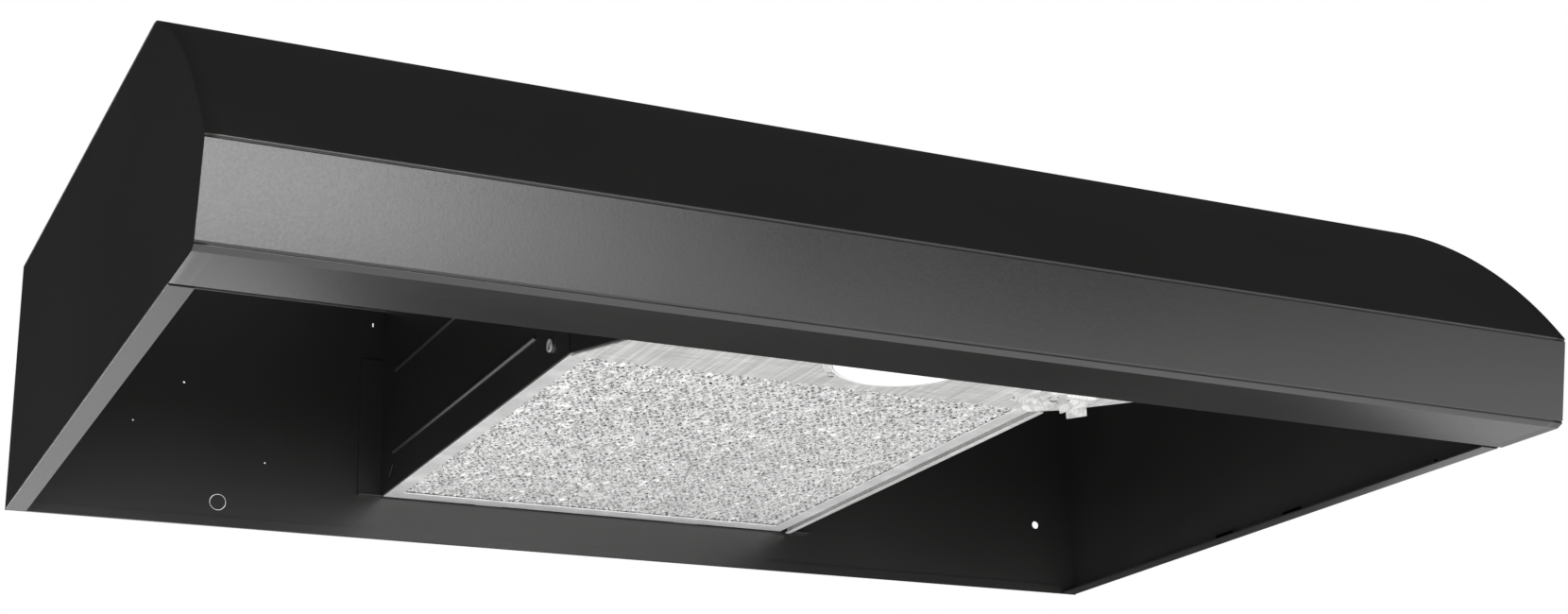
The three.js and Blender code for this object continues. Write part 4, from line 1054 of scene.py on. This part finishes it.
class HOOD_OT_studio(bpy.types.Operator):
    """A plain pale floor, soft lights and the camera"""

    bl_idname = "hood.studio"
    bl_label = "Studio"

    def execute(self, context):
        scene = context.scene
        s = scene.hood_studio
        self.make_floor(s)
        self.make_world(scene, s)
        for light in LIGHTS:
            area_light(*light)
        self.make_flag()
        self.make_camera(scene, s)
        return {"FINISHED"}

    def make_flag(self):
        """A dark card just above the floor behind the object, which only the gloss sees: it
        keeps the middle of the lip dark. It widens away from the camera."""
        f = Finish("studio_flag_finish")
        weave = f.noise(900, 1.0, 0.5)
        f.surface(Base_Color=f.mix(weave, grey(0.01), grey(0.02)), Roughness=0.95)
        corners = [(-0.10, 0.46), (0.64, -0.05), (6.9, 6.7), (2.2, 9.3)]
        flag = stage_plane("studio_flag", corners, RIM_Z - 0.60, f.material)
        flag.visible_camera = False
        flag.visible_diffuse = False
        flag.visible_shadow = False

    def make_floor(self, s):
        """A square of 24 m, far enough below the rim for the camera to stand above it."""
        f = Finish("studio_floor_finish")
        shade = f.noise(0.8, 2.0, 0.5)
        tone = f.mix(shade, grey(0.48), grey(0.52))
        f.surface(Base_Color=tone, Roughness=0.9, Emission_Color=(1.0, 1.0, 1.0))
        f.shader.inputs["Emission Strength"].default_value = s.floor_glow
        f.shader.inputs["Specular IOR Level"].default_value = 0.1
        half = 12.0
        corners = [(-half, -half), (half, -half), (half, half), (-half, half)]
        stage_plane("studio_floor", corners, RIM_Z - s.floor_drop, f.material)

    def make_world(self, scene, s):
        """White where the camera sees it, and dim where it lights the object."""
        world = bpy.data.worlds.new("studio_world")
        scene.world = world
        world.use_nodes = True
        nodes, links = world.node_tree.nodes, world.node_tree.links
        nodes.clear()
        path = nodes.new("ShaderNodeLightPath")
        choose = nodes.new("ShaderNodeMixShader")
        output = nodes.new("ShaderNodeOutputWorld")
        links.new(path.outputs["Is Camera Ray"], choose.inputs[0])
        for socket, strength in ((1, s.surround), (2, 1.0)):
            light = nodes.new("ShaderNodeBackground")
            light.inputs["Color"].default_value = grey(1.0)
            light.inputs["Strength"].default_value = strength
            links.new(light.outputs[0], choose.inputs[socket])
        links.new(choose.outputs[0], output.inputs["Surface"])

    def make_camera(self, scene, s):
        """The camera stands low in front of the left corner and looks up under the hood."""
        data = bpy.data.cameras.new("studio_camera")
        data.sensor_width = 36.0
        data.lens = s.lens
        data.shift_x, data.shift_y = CAMERA_SHIFT
        camera = linked("studio_camera", data)
        back = np.cross(CAMERA_RIGHT, CAMERA_UP)
        camera.matrix_world = placement(CAMERA_PLACE, CAMERA_RIGHT, CAMERA_UP, back)
        scene.camera = camera
        scene.view_settings.view_transform = "Standard"


class HOOD_PT_panel(bpy.types.Panel):
    """Lists the settings and the operators"""

    bl_idname = "HOOD_PT_panel"
    bl_label = "Range Hood"
    bl_space_type = "VIEW_3D"
    bl_region_type = "UI"
    bl_category = "Range Hood"

    def draw(self, context):
        for group in GROUPS:
            settings = getattr(context.scene, group)
            box = self.layout.box()
            for key in type(settings).__annotations__:
                box.prop(settings, key)
        for operator in STEPS:
            self.layout.operator(operator.bl_idname)


GROUPS = {
    "hood_shell": HoodShellSettings,
    "hood_filter": HoodFilterSettings,
    "hood_vent": HoodVentSettings,
    "hood_finishes": HoodFinishSettings,
    "hood_studio": HoodStudioSettings,
}
STEPS = [
    HOOD_OT_finishes,
    HOOD_OT_shell,
    HOOD_OT_side_panels,
    HOOD_OT_filter,
    HOOD_OT_lamp,
    HOOD_OT_vent,
    HOOD_OT_small_pieces,
    HOOD_OT_studio,
]


def register():
    """Registers the settings, the operators and the panel."""
    for name, group in GROUPS.items():
        bpy.utils.register_class(group)
        setattr(bpy.types.Scene, name, bpy.props.PointerProperty(type=group))
    for step in STEPS:
        bpy.utils.register_class(step)
    bpy.utils.register_class(HOOD_PT_panel)


def unregister():
    """Takes everything away, in the opposite order."""
    bpy.utils.unregister_class(HOOD_PT_panel)
    for step in reversed(STEPS):
        bpy.utils.unregister_class(step)
    for name, group in reversed(GROUPS.items()):
        delattr(bpy.types.Scene, name)
        bpy.utils.unregister_class(group)


def main():
    """Builds everything in order."""
    register()
    bpy.ops.hood.finishes()
    bpy.ops.hood.shell()
    bpy.ops.hood.side_panels()
    bpy.ops.hood.filter()
    bpy.ops.hood.lamp()
    bpy.ops.hood.vent()
    bpy.ops.hood.small_pieces()
    bpy.ops.hood.studio()


if __name__ == "__main__":
    main()
